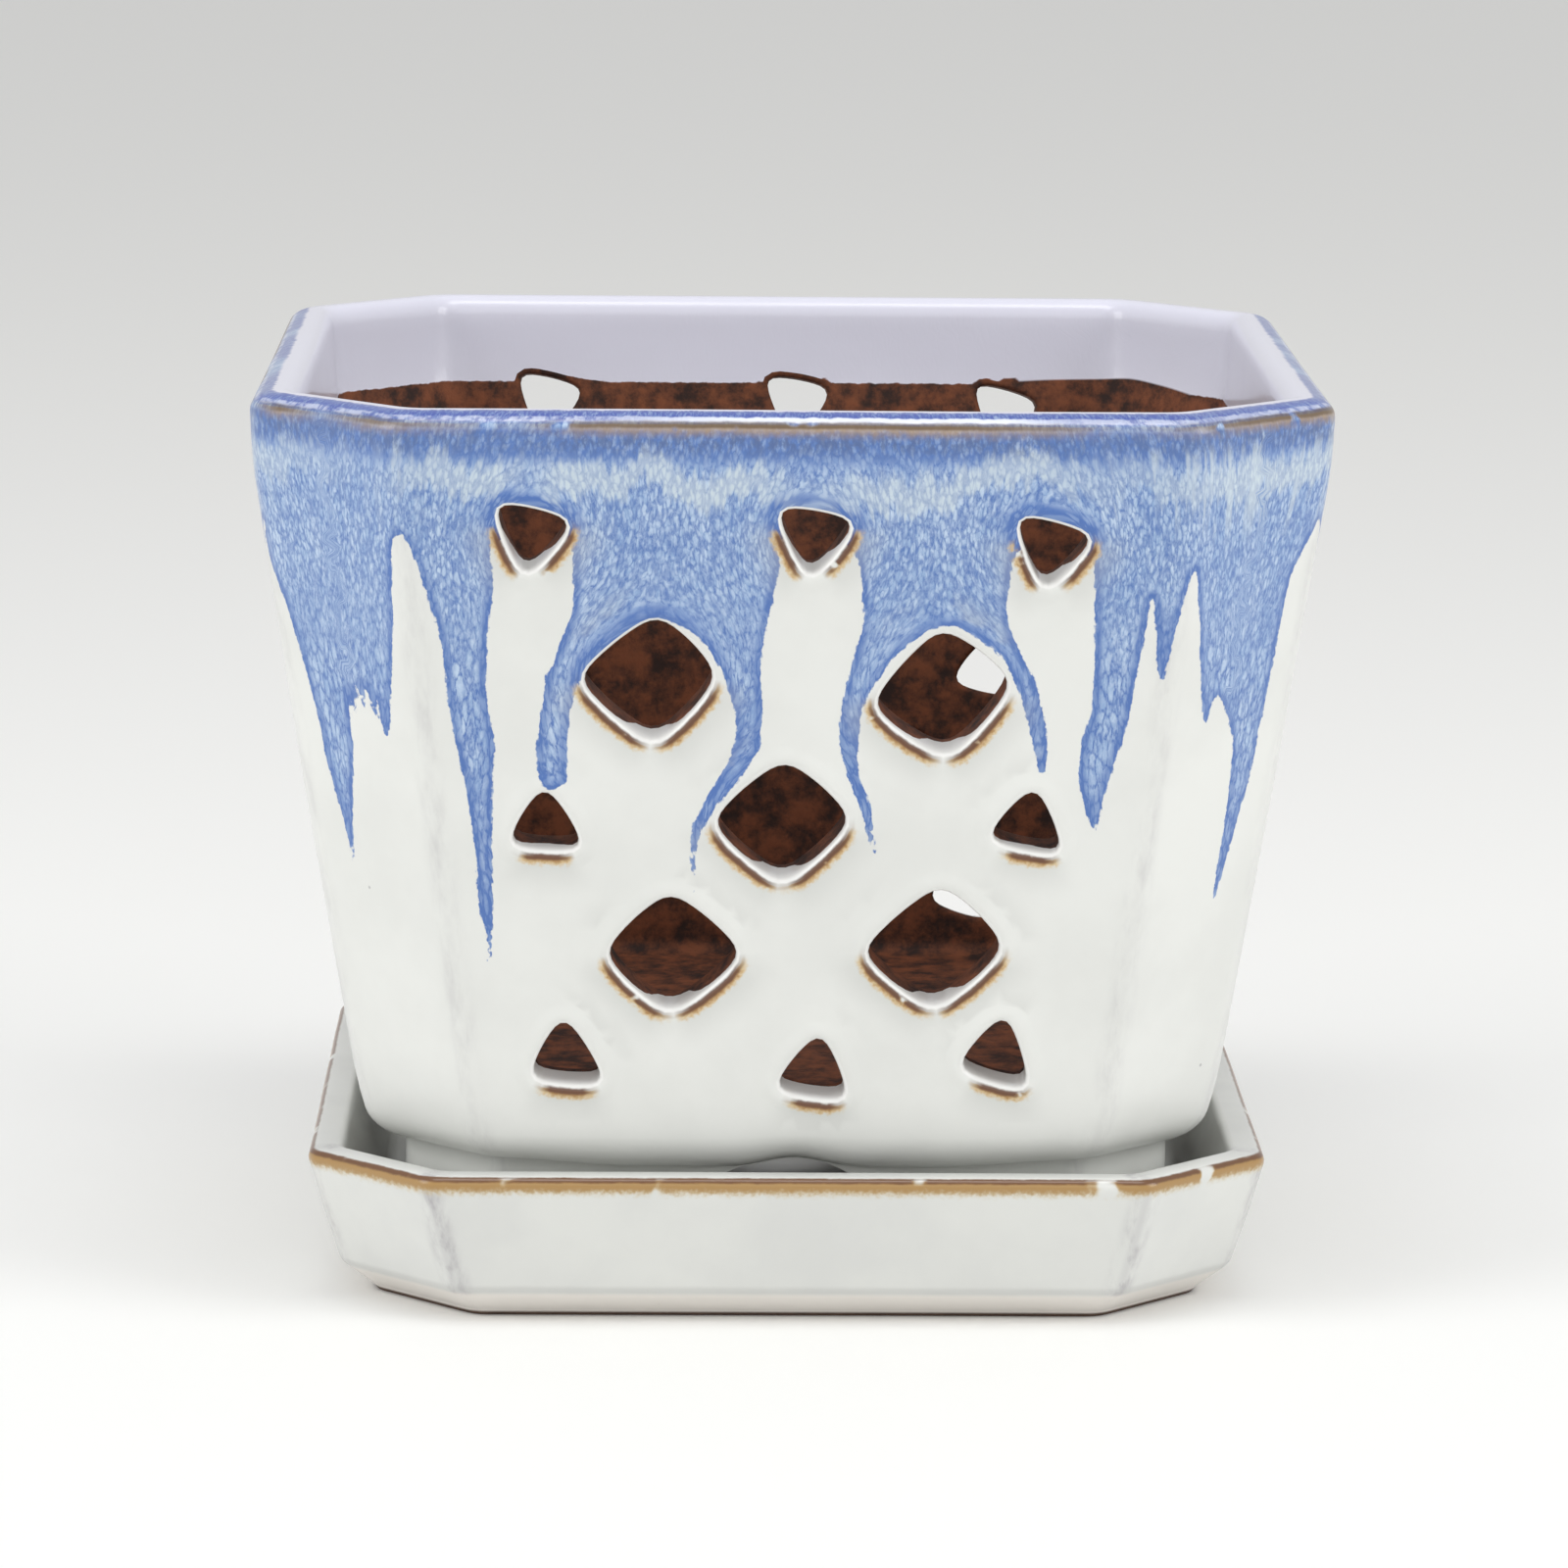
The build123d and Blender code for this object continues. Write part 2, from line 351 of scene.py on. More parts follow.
@dataclass(frozen=True)
class GlazeLine:
    """The lower line of the blue glaze, with its runs, all round the pot."""

    shape: BodyShape
    seed: int = 11
    hang: float = 152.0
    drift: float = 9.0 / 1.6
    free_run: float = 40.0
    waves: tuple[float, ...] = (61.0, 37.0, 23.0)
    reach: float = 12.0
    steps: int = 6

    def varied(self, line: Outline, seed: int) -> np.ndarray:
        """Let the runs of a line end at other heights, as they do from wall to wall.

        Args:
            line: the front wall's line.
            seed: which variation.

        Returns:
            The changed points.
        """
        points = np.array(line, float)
        if seed == 0:
            return points
        chance = np.random.default_rng(self.seed + seed)
        shift = np.zeros(len(points))
        for length in self.waves:
            shift += np.sin(points[:, 0] * 2 * pi / length + chance.uniform(0, 2 * pi))
        share = np.clip((self.hang - points[:, 1]) / self.free_run, 0, 1.4)
        points[:, 1] += shift * self.drift * share
        return points

    def pieces(self, wall: Wall) -> tuple[np.ndarray, np.ndarray, np.ndarray]:
        """The line on a wall and on the cut corners left and right of it.

        Args:
            wall: the wall.

        Returns:
            Points of the left corner, of the wall and of the right corner.
        """
        corners = (
            self.varied(LEFT_CORNER_LINE, 0),
            self.varied(RIGHT_CORNER_LINE, 0),
            self.varied(mirrored(LEFT_CORNER_LINE), 1),
            self.varied(mirrored(RIGHT_CORNER_LINE), 2),
        )
        line = FRONT_LINE if wall.hand > 0 else mirrored(FRONT_LINE)
        return corners[wall.quarter], self.varied(line, wall.quarter * 3), corners[(wall.quarter + 1) % 4]

    def line(self, wall: Wall) -> np.ndarray:
        """The smoothed line as a wall sees it, corners included.

        Args:
            wall: the wall.

        Returns:
            Points as across and level.
        """
        left, middle, right = self.pieces(wall)
        left = left - np.stack([self.shape.section(left[:, 1]).end(), np.zeros(len(left))], axis=-1)
        right = right + np.stack([self.shape.section(right[:, 1]).end(), np.zeros(len(right))], axis=-1)
        points = np.concatenate([left, middle, right])
        before = np.concatenate([points[:1], points[:-1]])
        after = np.concatenate([points[1:], points[-1:]])
        beyond = np.concatenate([after[1:], after[-1:]])
        parts = []
        for share in np.arange(self.steps) / self.steps:
            square = share * share
            cube = square * share
            second = (2 * before - 5 * points + 4 * after - beyond) * square
            third = (3 * points - before - 3 * after + beyond) * cube
            parts.append((2 * points + (after - before) * share + second + third) / 2)
        return np.stack(parts, axis=1).reshape(-1, 2)

    def depth(self, wall: Wall, places: np.ndarray) -> np.ndarray:
        """How far places lie inside the blue, negative in the white.

        Args:
            wall: the wall.
            places: across and level.

        Returns:
            Signed distances, no more than the reach.
        """
        line = self.line(wall)
        start, stop = line[:-1], line[1:]
        run = stop - start
        square = np.maximum(np.sum(run * run, axis=1), 1e-9)
        result = np.empty(len(places))
        for first in range(0, len(places), 2000):
            part = places[first:first + 2000, None, :]
            share = np.clip(np.sum((part - start) * run, axis=2) / square, 0, 1)
            near = np.sqrt(np.min(np.sum((part - start - share[..., None] * run) ** 2, axis=2), axis=1))
            spans = (start[:, 0] > part[..., 0]) != (stop[:, 0] > part[..., 0])
            width = np.where(np.abs(run[:, 0]) < 1e-9, 1e-9, run[:, 0])
            height = start[:, 1] + (part[..., 0] - start[:, 0]) / width * run[:, 1]
            above = np.sum(spans & (height > part[..., 1]), axis=1)
            result[first:first + 2000] = np.where(above % 2 == 0, near, -near)
        return np.clip(result, -self.reach, self.reach)


def placed(name: str, data: bpy.types.ID) -> bpy.types.Object:
    """Put a new object in the scene.

    Args:
        name: its name.
        data: what it shows.

    Returns:
        The object.
    """
    thing = bpy.data.objects.new(name, data)
    bpy.context.scene.collection.objects.link(thing)
    return thing


def close_up(mesh: bpy.types.Mesh, merge: float = 0.0) -> None:
    """Merge a mesh's touching points, turn its faces outwards and cut them into triangles.

    Args:
        mesh: the mesh.
        merge: how far apart touching points may lie, in metres.
    """
    work = bmesh.new()
    work.from_mesh(mesh)
    if merge > 0:
        bmesh.ops.remove_doubles(work, verts=work.verts, dist=merge)
    bmesh.ops.recalc_face_normals(work, faces=work.faces)
    bmesh.ops.triangulate(work, faces=[face for face in work.faces if len(face.verts) > 3])
    work.to_mesh(mesh)
    work.free()


@dataclass
class ShellMesh:
    """Points, faces and surface values of one piece, gathered patch by patch."""

    points: list[np.ndarray] = field(default_factory=list)
    faces: list[tuple[int, ...]] = field(default_factory=list)
    values: dict[str, list[np.ndarray]] = field(default_factory=dict)
    count: int = 0

    def add(self, points: np.ndarray, faces: list[tuple[int, ...]], **values: np.ndarray) -> None:
        """Add a patch.

        Args:
            points: its points.
            faces: its faces, as indices into the points.
            values: a number or a row of three for each point, by attribute name.
        """
        self.points.append(points)
        self.faces.extend(tuple(index + self.count for index in face) for face in faces)
        for name, value in values.items():
            size = (len(points), 3) if np.ndim(value) == 2 else (len(points),)
            self.values.setdefault(name, []).append(np.broadcast_to(value, size))
        self.count += len(points)

    def write(self, name: str) -> bpy.types.Object:
        """Write the mesh, with touching points merged and faces turned outwards.

        Args:
            name: the piece's name.

        Returns:
            The new object.
        """
        mesh = bpy.data.meshes.new(name)
        mesh.from_pydata((np.concatenate(self.points) * MM).tolist(), [], self.faces)
        for title, parts in self.values.items():
            data = np.concatenate(parts).astype(np.float32)
            kind = "FLOAT_VECTOR" if data.ndim == 2 else "FLOAT"
            attribute = mesh.attributes.new(title, kind, "POINT")
            attribute.data.foreach_set("vector" if data.ndim == 2 else "value", data.ravel())
        close_up(mesh, MERGE * MM)
        mesh.polygons.foreach_set("use_smooth", np.ones(len(mesh.polygons), bool))
        mesh.update()
        return placed(name, mesh)


def ring_faces(loops: int, count: int, closed: bool) -> list[tuple[int, ...]]:
    """Four-sided faces between successive rows of points.

    Args:
        loops: number of rows.
        count: points in a row.
        closed: whether a row's last point joins its first.

    Returns:
        The faces.
    """
    faces = []
    for loop in range(loops - 1):
        for index in range(count if closed else count - 1):
            after = (index + 1) % count
            low = loop * count
            faces.append((low + index, low + after, low + count + after, low + count + index))
    return faces


@dataclass(frozen=True)
class Row:
    """A row of points round the pot at one level of its profile.

    rim is the length along the profile past the top of the outer face, arch the level that the foot's
    arches are measured from, and circle the share of the drain hole's circle. The last two are 0 for none.
    """

    section: Section
    level: float
    rim: float
    arch: float = 0.0
    circle: float = 0.0


@dataclass
class Pot:
    """The pot: leaning walls pierced by slots, soft rim, floor with a drain hole, and notched foot."""

    shape: BodyShape = field(default_factory=BodyShape)
    bottom: float = 30.4
    top: float = 180.2
    rim_radius: float = 4.0
    rim_out: float = 5.4
    rim_in: float = 3.2
    heel_radius: float = 6.0
    panel_low: float = 38.0
    panel_high: float = 175.6
    inner_low: float = 44.2
    inner_high: float = 172.0
    inner_edge_level: float = 174.0
    tray_level: float = 11.0
    foot_half: float = 75.4
    foot_leg: float = 18.83
    foot_radius: float = 6.0
    foot_wall: float = 11.0
    foot_edge: float = 1.2
    floor_low: float = 32.6
    floor_high: float = 40.6
    floor_radius: float = 3.4
    drain: float = 10.0
    arch_half: float = 26.0
    arch_height: float = 19.6
    arch_bend: float = 0.8
    arch_lift: float = 1.9
    arch_lift_half: float = 12.5
    arch_lift_middle: float = 1.2
    sag: float = 1.5
    sag_from: float = 58.0
    sag_to: float = 30.0
    slot_rise: float = 1.44
    edge: float = 0.95
    inner_edge: float = 0.9
    outer_ring: float = 4.2
    inner_ring: float = 1.25
    lip_height: float = 0.42
    lip_place: float = 1.7
    lip_spread: float = 1.6
    lip_reach: float = 9.0
    lip_rings: tuple[float, ...] = (3.5, 2.8, 2.1, 1.5)
    low_reach: float = 22.0
    fine_band: float = 1.5
    spacing: float = 2.2
    waver: float = 0.45
    waver_half: float = 95.0
    inner_bare: float = 27.5
    white_below: float = -8.0
    foot_mark: float = -190.0
    hole_mark: float = 180.0
    floor_mark: float = 170.0
    corner_mark: float = 150.0
    tilt: float = 0.15
    tilt_from: float = 120.0
    tilt_width: float = 210.0
    ripple: float = 0.06
    flow_radius: float = 112.0

    def __post_init__(self) -> None:
        """Set up the glaze line and the shares along a wall at which every row has its points."""
        self.glaze = GlazeLine(self.shape)
        flat = np.linspace(-1, 1, 61)
        notch = self.arch_half / (self.foot_half - self.foot_leg - self.foot_radius * EDGE_TRIM)
        near = notch - np.array([-0.004, 0.003, 0.014, 0.03])
        flat = flat[np.min(np.abs(np.abs(flat)[:, None] - near), axis=1) > 0.006]
        flat = np.sort(np.concatenate([flat, near, -near]))
        side = np.concatenate([1 + np.arange(1, 5) / 4, 2 + np.arange(1, 8) / 7])
        self.shares = np.concatenate([-side[::-1], flat, side])

    @property
    def over(self) -> float:
        """Length over the rim, from the top of the outer face to the top of the inner face."""
        return self.rim_radius * pi + self.shape.wall - self.rim_out - self.rim_in

    def point(self, wall: Wall, across: np.ndarray, level: np.ndarray, inset: float = 0.0) -> np.ndarray:
        """Points on the wall's face, or inside it."""
        x, out = self.shape.section(level, inset).place(across)
        return wall.turned(x, out, level)

    def normal(self, wall: Wall, across: np.ndarray, level: np.ndarray, inset: float = 0.0) -> np.ndarray:
        """Outward directions of the wall's face.

        Args:
            wall: the wall.
            across: length from the wall's middle.
            level: height.
            inset: how far inside the outer face.

        Returns:
            Unit vectors, one row each.
        """
        step = 0.02
        along = self.point(wall, across + step, level, inset) - self.point(wall, across - step, level, inset)
        up = self.point(wall, across, level + step, inset) - self.point(wall, across, level - step, inset)
        out = np.cross(along, up)
        return out / np.linalg.norm(out, axis=-1)[:, None]

    def flow(self, wall: Wall, across: np.ndarray, level: np.ndarray, rim: np.ndarray) -> np.ndarray:
        """Where the running glaze came from: a pattern on these coordinates follows the runs round slots.

        Args:
            wall: the wall.
            across: length from the wall's middle.
            level: height.
            rim: distance along the profile past the top of the outer face.

        Returns:
            Pattern coordinates, one row each.
        """
        lane = np.array(across, float)
        for slot in SLOTS:
            radius = slot.kind.value[4]
            side = across - slot.across * wall.hand
            away = side ** 2 + (level - slot.level) ** 2
            lane -= side * radius ** 2 / np.maximum(away, radius ** 2)
        end = self.shape.section(np.clip(level, self.bottom, self.top)).end()
        turn = (wall.quarter + lane / (2 * end)) * pi / 2
        return np.stack([self.flow_radius * np.cos(turn), self.flow_radius * np.sin(turn), rim], axis=-1)

    def crease(self, across: np.ndarray, level: np.ndarray) -> np.ndarray:
        """Distance from the middle of the nearest upright edge."""
        section = self.shape.section(np.clip(level, self.bottom, self.top))
        return np.abs(np.abs(across) - section.flat() - section.radius * pi / 8)

    def lip(self, gap: np.ndarray) -> np.ndarray:
        """Height of a slot's raised lip at a distance from the slot's edge."""
        return self.lip_height * np.exp(-((gap - self.lip_place) / self.lip_spread) ** 2)

    def panel(self, mesh: ShellMesh, wall: Wall, inside: bool) -> None:
        """One wall from cut corner to cut corner, with the slots left open.

        Args:
            mesh: what the panel is added to.
            wall: the wall.
            inside: true for the face towards the plants.
        """
        inset = self.shape.wall if inside else 0.0
        low = self.inner_low if inside else self.panel_low
        high = self.inner_high if inside else self.panel_high
        spacing = self.spacing * (2 if inside else 1)
        gap = self.inner_ring if inside else self.outer_ring
        rise = self.slot_rise if inside else 0.0
        levels = np.linspace(low, high, round((high - low) / spacing) + 1)
        bottom = self.shape.section(low, inset)
        top = self.shape.section(high, inset)
        sides = self.shape.section(levels, inset).end()
        loop = np.concatenate([
            np.stack([bottom.across(self.shares), np.full(len(self.shares), low)], axis=-1),
            np.stack([sides, levels], axis=-1)[1:-1],
            np.stack([top.across(self.shares), np.full(len(self.shares), high)], axis=-1)[::-1],
            np.stack([-sides, levels], axis=-1)[1:-1][::-1],
        ])
        constraints = [(index, (index + 1) % len(loop)) for index in range(len(loop))]
        places = [loop]
        count = len(loop)
        rings = []
        for slot in SLOTS:
            points, out = slot.outline(wall.hand)
            ring = points + out * gap + (0, rise)
            rings.append(ring)
            constraints += [(count + index, count + (index + 1) % len(ring)) for index in range(len(ring))]
            places.append(ring)
            count += len(ring)
        places.append(self.lattice(wall, levels, inset, rings, spacing, inside))
        places = np.concatenate(places)
        vectors = [Vector(place) for place in places.tolist()]
        found, _, faces, origins, _, _ = delaunay_2d_cdt(vectors, constraints, [], 1, 1e-5)
        found = np.array([tuple(place) for place in found])
        for index, origin in enumerate(origins):
            if origin:
                found[index] = places[origin[0]]
        middles = np.array([found[list(face)].mean(axis=0) for face in faces])
        keep = np.ones(len(faces), bool)
        for ring in rings:
            keep &= ~inside_ring(middles, ring)
        kept = [tuple(face) for face, wanted in zip(faces, keep) if wanted]
        across, level = found[:, 0], found[:, 1]
        points = self.point(wall, across, level, inset)
        away = np.full(len(found), FAR)
        if not inside:
            for slot in SLOTS:
                away = np.minimum(away, nearest(found, slot.outline(wall.hand)[0]))
            lip = self.lip(away) * (away < self.lip_reach)
            points = points + self.normal(wall, across, level) * lip[:, None]
        beside = np.zeros(len(found))
        for slot in SLOTS:
            near = np.hypot(across - slot.across * wall.hand, level - slot.level) < self.low_reach
            beside = np.maximum(beside, slot.low_share(found, wall.hand) * near)
        values = self.surface(wall, across, level, away, beside, inside)
        cut = np.clip(values["rim"] - self.inner_bare, -BARE, BARE) if inside else -BARE
        mesh.add(points, kept, bare_cut=cut, **values)

    def lattice(self, wall: Wall, levels: np.ndarray, inset: float, rings: list[np.ndarray],
                spacing: float, inside: bool) -> np.ndarray:
        """Even points between a panel's edge and its slots, closer together along the blue glaze's line.

        Args:
            wall: the wall.
            levels: the panel's levels.
            inset: how far inside the outer face.
            rings: the slots' outer rings.
            spacing: distance between points.
            inside: true for the face towards the plants.

        Returns:
            Points as across and level.
        """
        step = spacing / 2
        rows = int((levels[-1] - levels[0]) / (step * sqrt(3) / 2))
        reach = int(self.shape.section(levels[-1], inset).end() / step) + 2
        row, column = np.meshgrid(np.arange(rows + 1), np.arange(-reach, reach + 1), indexing="ij")
        level = levels[0] + row * (levels[-1] - levels[0]) / rows
        across = (column + (row % 2) / 2) * step
        coarse = (row % 2 == 0) & ((column + row // 2) % 2 == 0)
        places = np.stack([across.ravel(), level.ravel()], axis=-1)
        coarse = coarse.ravel()
        end = self.shape.section(places[:, 1], inset).end()
        margin = spacing * 0.5
        keep = (np.abs(places[:, 0]) < end - margin) & (places[:, 1] > levels[0] + margin)
        keep &= places[:, 1] < levels[-1] - margin
        places, coarse = places[keep], coarse[keep]
        clear = np.ones(len(places), bool)
        for ring in rings:
            clear &= ~inside_ring(places, ring) & (nearest(places, ring) > step * 0.9)
        places, coarse = places[clear], coarse[clear]
        if inside:
            return places[coarse]
        fine = np.abs(self.glaze.depth(wall, places)) < self.fine_band
        return places[coarse | fine]

    def surface(self, wall: Wall, across: np.ndarray, level: np.ndarray, gap: np.ndarray, low: np.ndarray,
                inside: bool) -> dict[str, np.ndarray]:
        """Values that the glazes read.

        Args:
            wall: the wall.
            across: length from the wall's middle.
            level: height.
            gap: distance from the nearest slot's edge, negative in the slot.
            low: share of a slot's low side.
            inside: true for the face towards the plants.

        Returns:
            Values by attribute name.
        """
        start = self.top - self.rim_radius
        rim = level - start
        blue = np.full(len(level), FAR)
        if inside:
            rim = self.over + start - level
        else:
            blue = self.glaze.depth(wall, np.stack([across, level], axis=-1))
        return {
            "rim": rim, "blue": blue, "slot_gap": gap, "slot_low": low,
            "crease": self.crease(across, level), "flow": self.flow(wall, across, level, rim),
        }

    def slot_tube(self, mesh: ShellMesh, wall: Wall, slot: Slot) -> None:
        """A slot's raised lip, its soft edges and the cut through the wall.

        Args:
            mesh: what the tube is added to.
            wall: the wall.
            slot: the slot.
        """
        outline, out = slot.outline(wall.hand)
        loops, gaps, insides, places = [], [], [], []
        turns = np.radians([0, 28, 52, 72, 90])
        edge, inner_edge = self.edge, self.inner_edge
        outer = [(gap, 0.0) for gap in (self.outer_ring, *self.lip_rings)]
        outer += [(edge * (1 - sin(turn)), -edge * (1 - cos(turn))) for turn in turns]
        for gap, height in outer:
            place = outline + out * gap
            lift = float(self.lip(np.array(gap))) + height
            normal = self.normal(wall, place[:, 0], place[:, 1])
            loops.append(self.point(wall, place[:, 0], place[:, 1]) + normal * lift)
            gaps.append(gap + height * 0.4)
            insides.append(False)
            places.append(place)
        inner = [(inner_edge * (1 - sin(turn)), -inner_edge * (1 - cos(turn))) for turn in turns[::-1]]
        inner += [(self.inner_ring, 0.0)]
        after = []
        for gap, height in inner:
            place = outline + out * gap + (0, self.slot_rise)
            normal = self.normal(wall, place[:, 0], place[:, 1], self.shape.wall)
            after.append(self.point(wall, place[:, 0], place[:, 1], self.shape.wall) - normal * height)
        start, stop = loops[-1], after[0]
        for share in (0.25, 0.5, 0.75, 0.9):
            loops.append(start + (stop - start) * share)
            gaps.append(-1 - share * 6)
            insides.append(False)
            places.append(outline)
        for loop in after:
            loops.append(loop)
            gaps.append(FAR)
            insides.append(True)
            places.append(outline + (0, self.slot_rise))
        parts = []
        for place, gap, inside in zip(places, gaps, insides):
            low = slot.low_share(place, wall.hand)
            parts.append(self.surface(wall, place[:, 0], place[:, 1], np.full(len(place), gap), low, inside))
        values = {name: np.concatenate([part[name] for part in parts]) for name in parts[0]}
        glazed = slot.glaze_depth(outline, wall.hand)
        cuts = []
        for index, gap in enumerate(gaps):
            if index == len(gaps) - 1:
                cuts.append(np.clip(parts[index]["rim"] - self.inner_bare, -BARE, BARE))
            elif index >= len(outer) + 3:
                cuts.append(np.full(len(outline), BARE))
            else:
                cuts.append(np.clip(-gap - glazed, -BARE, BARE) if gap < 1 else np.full(len(outline), -BARE))
        cut = np.concatenate(cuts)
        mesh.add(np.concatenate(loops), ring_faces(len(loops), len(outline), True), bare_cut=cut, **values)

    def strip(self, mesh: ShellMesh, wall: Wall, rows: list[Row]) -> None:
        """Rows of points joined into a strip along one wall.

        Args:
            mesh: what the strip is added to.
            wall: the wall.
            rows: the rows, in order along the profile.
        """
        points, values = [], []
        for row in rows:
            across = row.section.across(self.shares)
            x, out = row.section.place(across)
            level = np.full(len(x), row.level)
            lift = self.arch_lift * smoothstep(-np.abs(x - self.arch_lift_middle), -self.arch_lift_half, 0)
            lift = lift - self.sag * smoothstep(-np.abs(x), -self.sag_from, -self.sag_to)
            if row.arch > 0:
                arch = np.maximum(1 - (x / self.arch_half) ** 2, 0) ** self.arch_bend * self.arch_height
                top = row.arch + lift * (row.arch < self.floor_low - 1)
                foot = np.minimum(self.tray_level + arch, top - 0.3)
                level = top - (row.arch - level) / (row.arch - self.tray_level) * (top - foot)
            elif row.level < self.panel_low and row.rim < 0:
                level = level + lift * smoothstep(self.panel_low - level, 0, self.panel_low - self.bottom)
            if row.circle > 0:
                length = np.hypot(x, out)
                share = row.circle
                x = x * (1 - share) + x / length * self.drain * share
                out = out * (1 - share) + out / length * self.drain * share
            points.append(wall.turned(x, out, level))
            rim = np.full(len(x), row.rim)
            wide = np.clip(np.full(len(x), row.level), self.bottom, self.top)
            values.append({
                "rim": rim,
                "blue": np.full(len(x), FAR if row.rim > self.white_below else -FAR),
                "slot_gap": np.full(len(x), FAR),
                "slot_low": np.zeros(len(x)),
                "bare_cut": np.full(len(x), -BARE),
                "crease": np.abs(np.abs(across) - row.section.flat() - row.section.radius * pi / 8),
                "flow": self.flow(wall, self.shape.section(wide).across(self.shares), level, rim),
            })
        joined = {name: np.concatenate([value[name] for value in values]) for name in values[0]}
        mesh.add(np.concatenate(points), ring_faces(len(rows), len(self.shares), False), **joined)

    def rim_rows(self) -> list[Row]:
        """Rows from the outer face over the rim to the inner face.

        Returns:
            The rows.
        """
        radius = self.rim_radius
        start = self.top - radius
        rows = [Row(self.shape.section(self.panel_high), self.panel_high, self.panel_high - start)]
        for turn in np.linspace(0, pi / 2, 9):
            level = start + radius * sin(turn)
            rows.append(Row(self.shape.section(level, self.rim_out * (1 - cos(turn))), level, radius * turn))
        for turn in np.linspace(pi / 2, 0, 9):
            level = start + radius * sin(turn)
            inset = self.shape.wall - self.rim_in * (1 - cos(turn))
            rows.append(Row(self.shape.section(level, inset), level, self.over - radius * turn))
        for level in (self.inner_edge_level, self.inner_high):
            rows.append(Row(self.shape.section(level, self.shape.wall), level, self.over + start - level))
        return rows

    def foot_rows(self) -> list[Row]:
        """Rows from the outer face's lower edge, under the foot, through the drain hole and up the inside.

        Returns:
            The rows.
        """
        start = self.top - self.rim_radius
        heel, edge, low = self.heel_radius, self.foot_edge, self.panel_low
        rows = [Row(self.shape.section(low), low, low - start)]
        for turn in np.linspace(0, pi / 2, 8):
            level = self.bottom + heel * (1 - sin(turn))
            inset = heel * (1 - cos(turn))
            rows.append(Row(self.shape.section(level, inset), level, level - start))
        under = self.bottom - 0.2
        ceiling = self.floor_low - 0.2
        outer = Section(self.foot_half, self.foot_leg, self.foot_radius)
        for level in (under, 26.0, 21.0, 17.0, 14.0, self.tray_level + edge):
            rows.append(Row(outer, level, level - start, arch=under))
        for turn in radians(45), radians(90):
            foot = self.inside_foot(edge * (1 - cos(turn)))
            rows.append(Row(foot, self.tray_level + edge * (1 - sin(turn)), self.foot_mark, arch=under))
        for step in (4.0, 7.0, self.foot_wall - edge):
            rows.append(Row(self.inside_foot(step), self.tray_level, self.foot_mark, arch=ceiling))
        for turn in radians(45), radians(0):
            foot = self.inside_foot(self.foot_wall - edge * (1 - cos(turn)))
            rows.append(Row(foot, self.tray_level + edge * (1 - sin(turn)), self.foot_mark, arch=ceiling))
        for level in (18.0, 25.0, ceiling):
            rows.append(Row(self.inside_foot(self.foot_wall), level, self.foot_mark, arch=ceiling))
        for step, share in ((0.6, 0.0), (12.0, 0.0), (26.0, 0.25), (36.0, 0.6)):
            foot = self.inside_foot(self.foot_wall + step)
            rows.append(Row(foot, self.floor_low, self.foot_mark, circle=share + ROUNDED))
        hole = self.inside_foot(self.foot_wall + 36.0)
        for level in (self.floor_low, self.floor_low + 1, self.floor_high - 1, self.floor_high):
            rows.append(Row(hole, level, self.hole_mark, circle=1.0))
        floor = self.shape.section(self.floor_high + self.floor_radius, self.shape.wall)
        for step, share in ((40.0, 0.6), (26.0, 0.25), (12.0, 0.0), (self.floor_radius, 0.0)):
            leg = max(floor.leg - step * STEP_LEG * 0.7, 4.0)
            section = Section(floor.half - step, leg, max(floor.radius - step * 0.12, 2.0))
            rows.append(Row(section, self.floor_high, self.floor_mark, circle=share + ROUNDED))
        for turn in np.radians([65, 40, 15]):
            step = self.floor_radius * (1 - cos(turn))
            section = Section(floor.half - step, floor.leg - step * STEP_LEG, floor.radius)
            level = self.floor_high + self.floor_radius * (1 - sin(turn))
            rows.append(Row(section, level, self.corner_mark))
        low = self.inner_low
        rows.append(Row(self.shape.section(low, self.shape.wall), low, self.over + start - low))
        return rows

    def inside_foot(self, step: float) -> Section:
        """Section of the foot, moved in."""
        radius = max(self.foot_radius - step * 0.2, 2.0)
        return Section(self.foot_half - step, max(self.foot_leg - step * STEP_LEG, 4.0), radius)

    def hand_made(self, points: np.ndarray) -> np.ndarray:
        """Let the fired shape waver a little, always inwards, and its rim sink to the right.

        Args:
            points: points of the pot.

        Returns:
            The moved points.
        """
        x, y, z = points.T
        wave = np.sin(x / 21 + 0.6) * np.sin(z / 34 + 1.1) + np.sin(y / 24 + 2.0) * np.sin(z / 27 + 0.2)
        share = 1 - self.waver * (0.5 + wave / 4) / self.waver_half
        high = smoothstep(z, self.tilt_from, self.top)
        drop = self.tilt * (0.5 + np.clip(x / self.tilt_width, -0.5, 0.5)) * high
        ripple = self.ripple * (1 + np.sin(x / 17) * np.sin(y / 19 + 1)) * high
        return np.stack([x * share, y * share, z - drop - ripple], axis=-1)

    def build(self) -> bpy.types.Object:
        """Build the whole pot.

        Returns:
            The piece.
        """
        mesh = ShellMesh()
        for wall in Wall:
            self.panel(mesh, wall, inside=False)
            self.panel(mesh, wall, inside=True)
            for slot in SLOTS:
                self.slot_tube(mesh, wall, slot)
            self.strip(mesh, wall, self.rim_rows())
            self.strip(mesh, wall, self.foot_rows())
        mesh.points = [self.hand_made(points) for points in mesh.points]
        return mesh.write("orchid_pot")


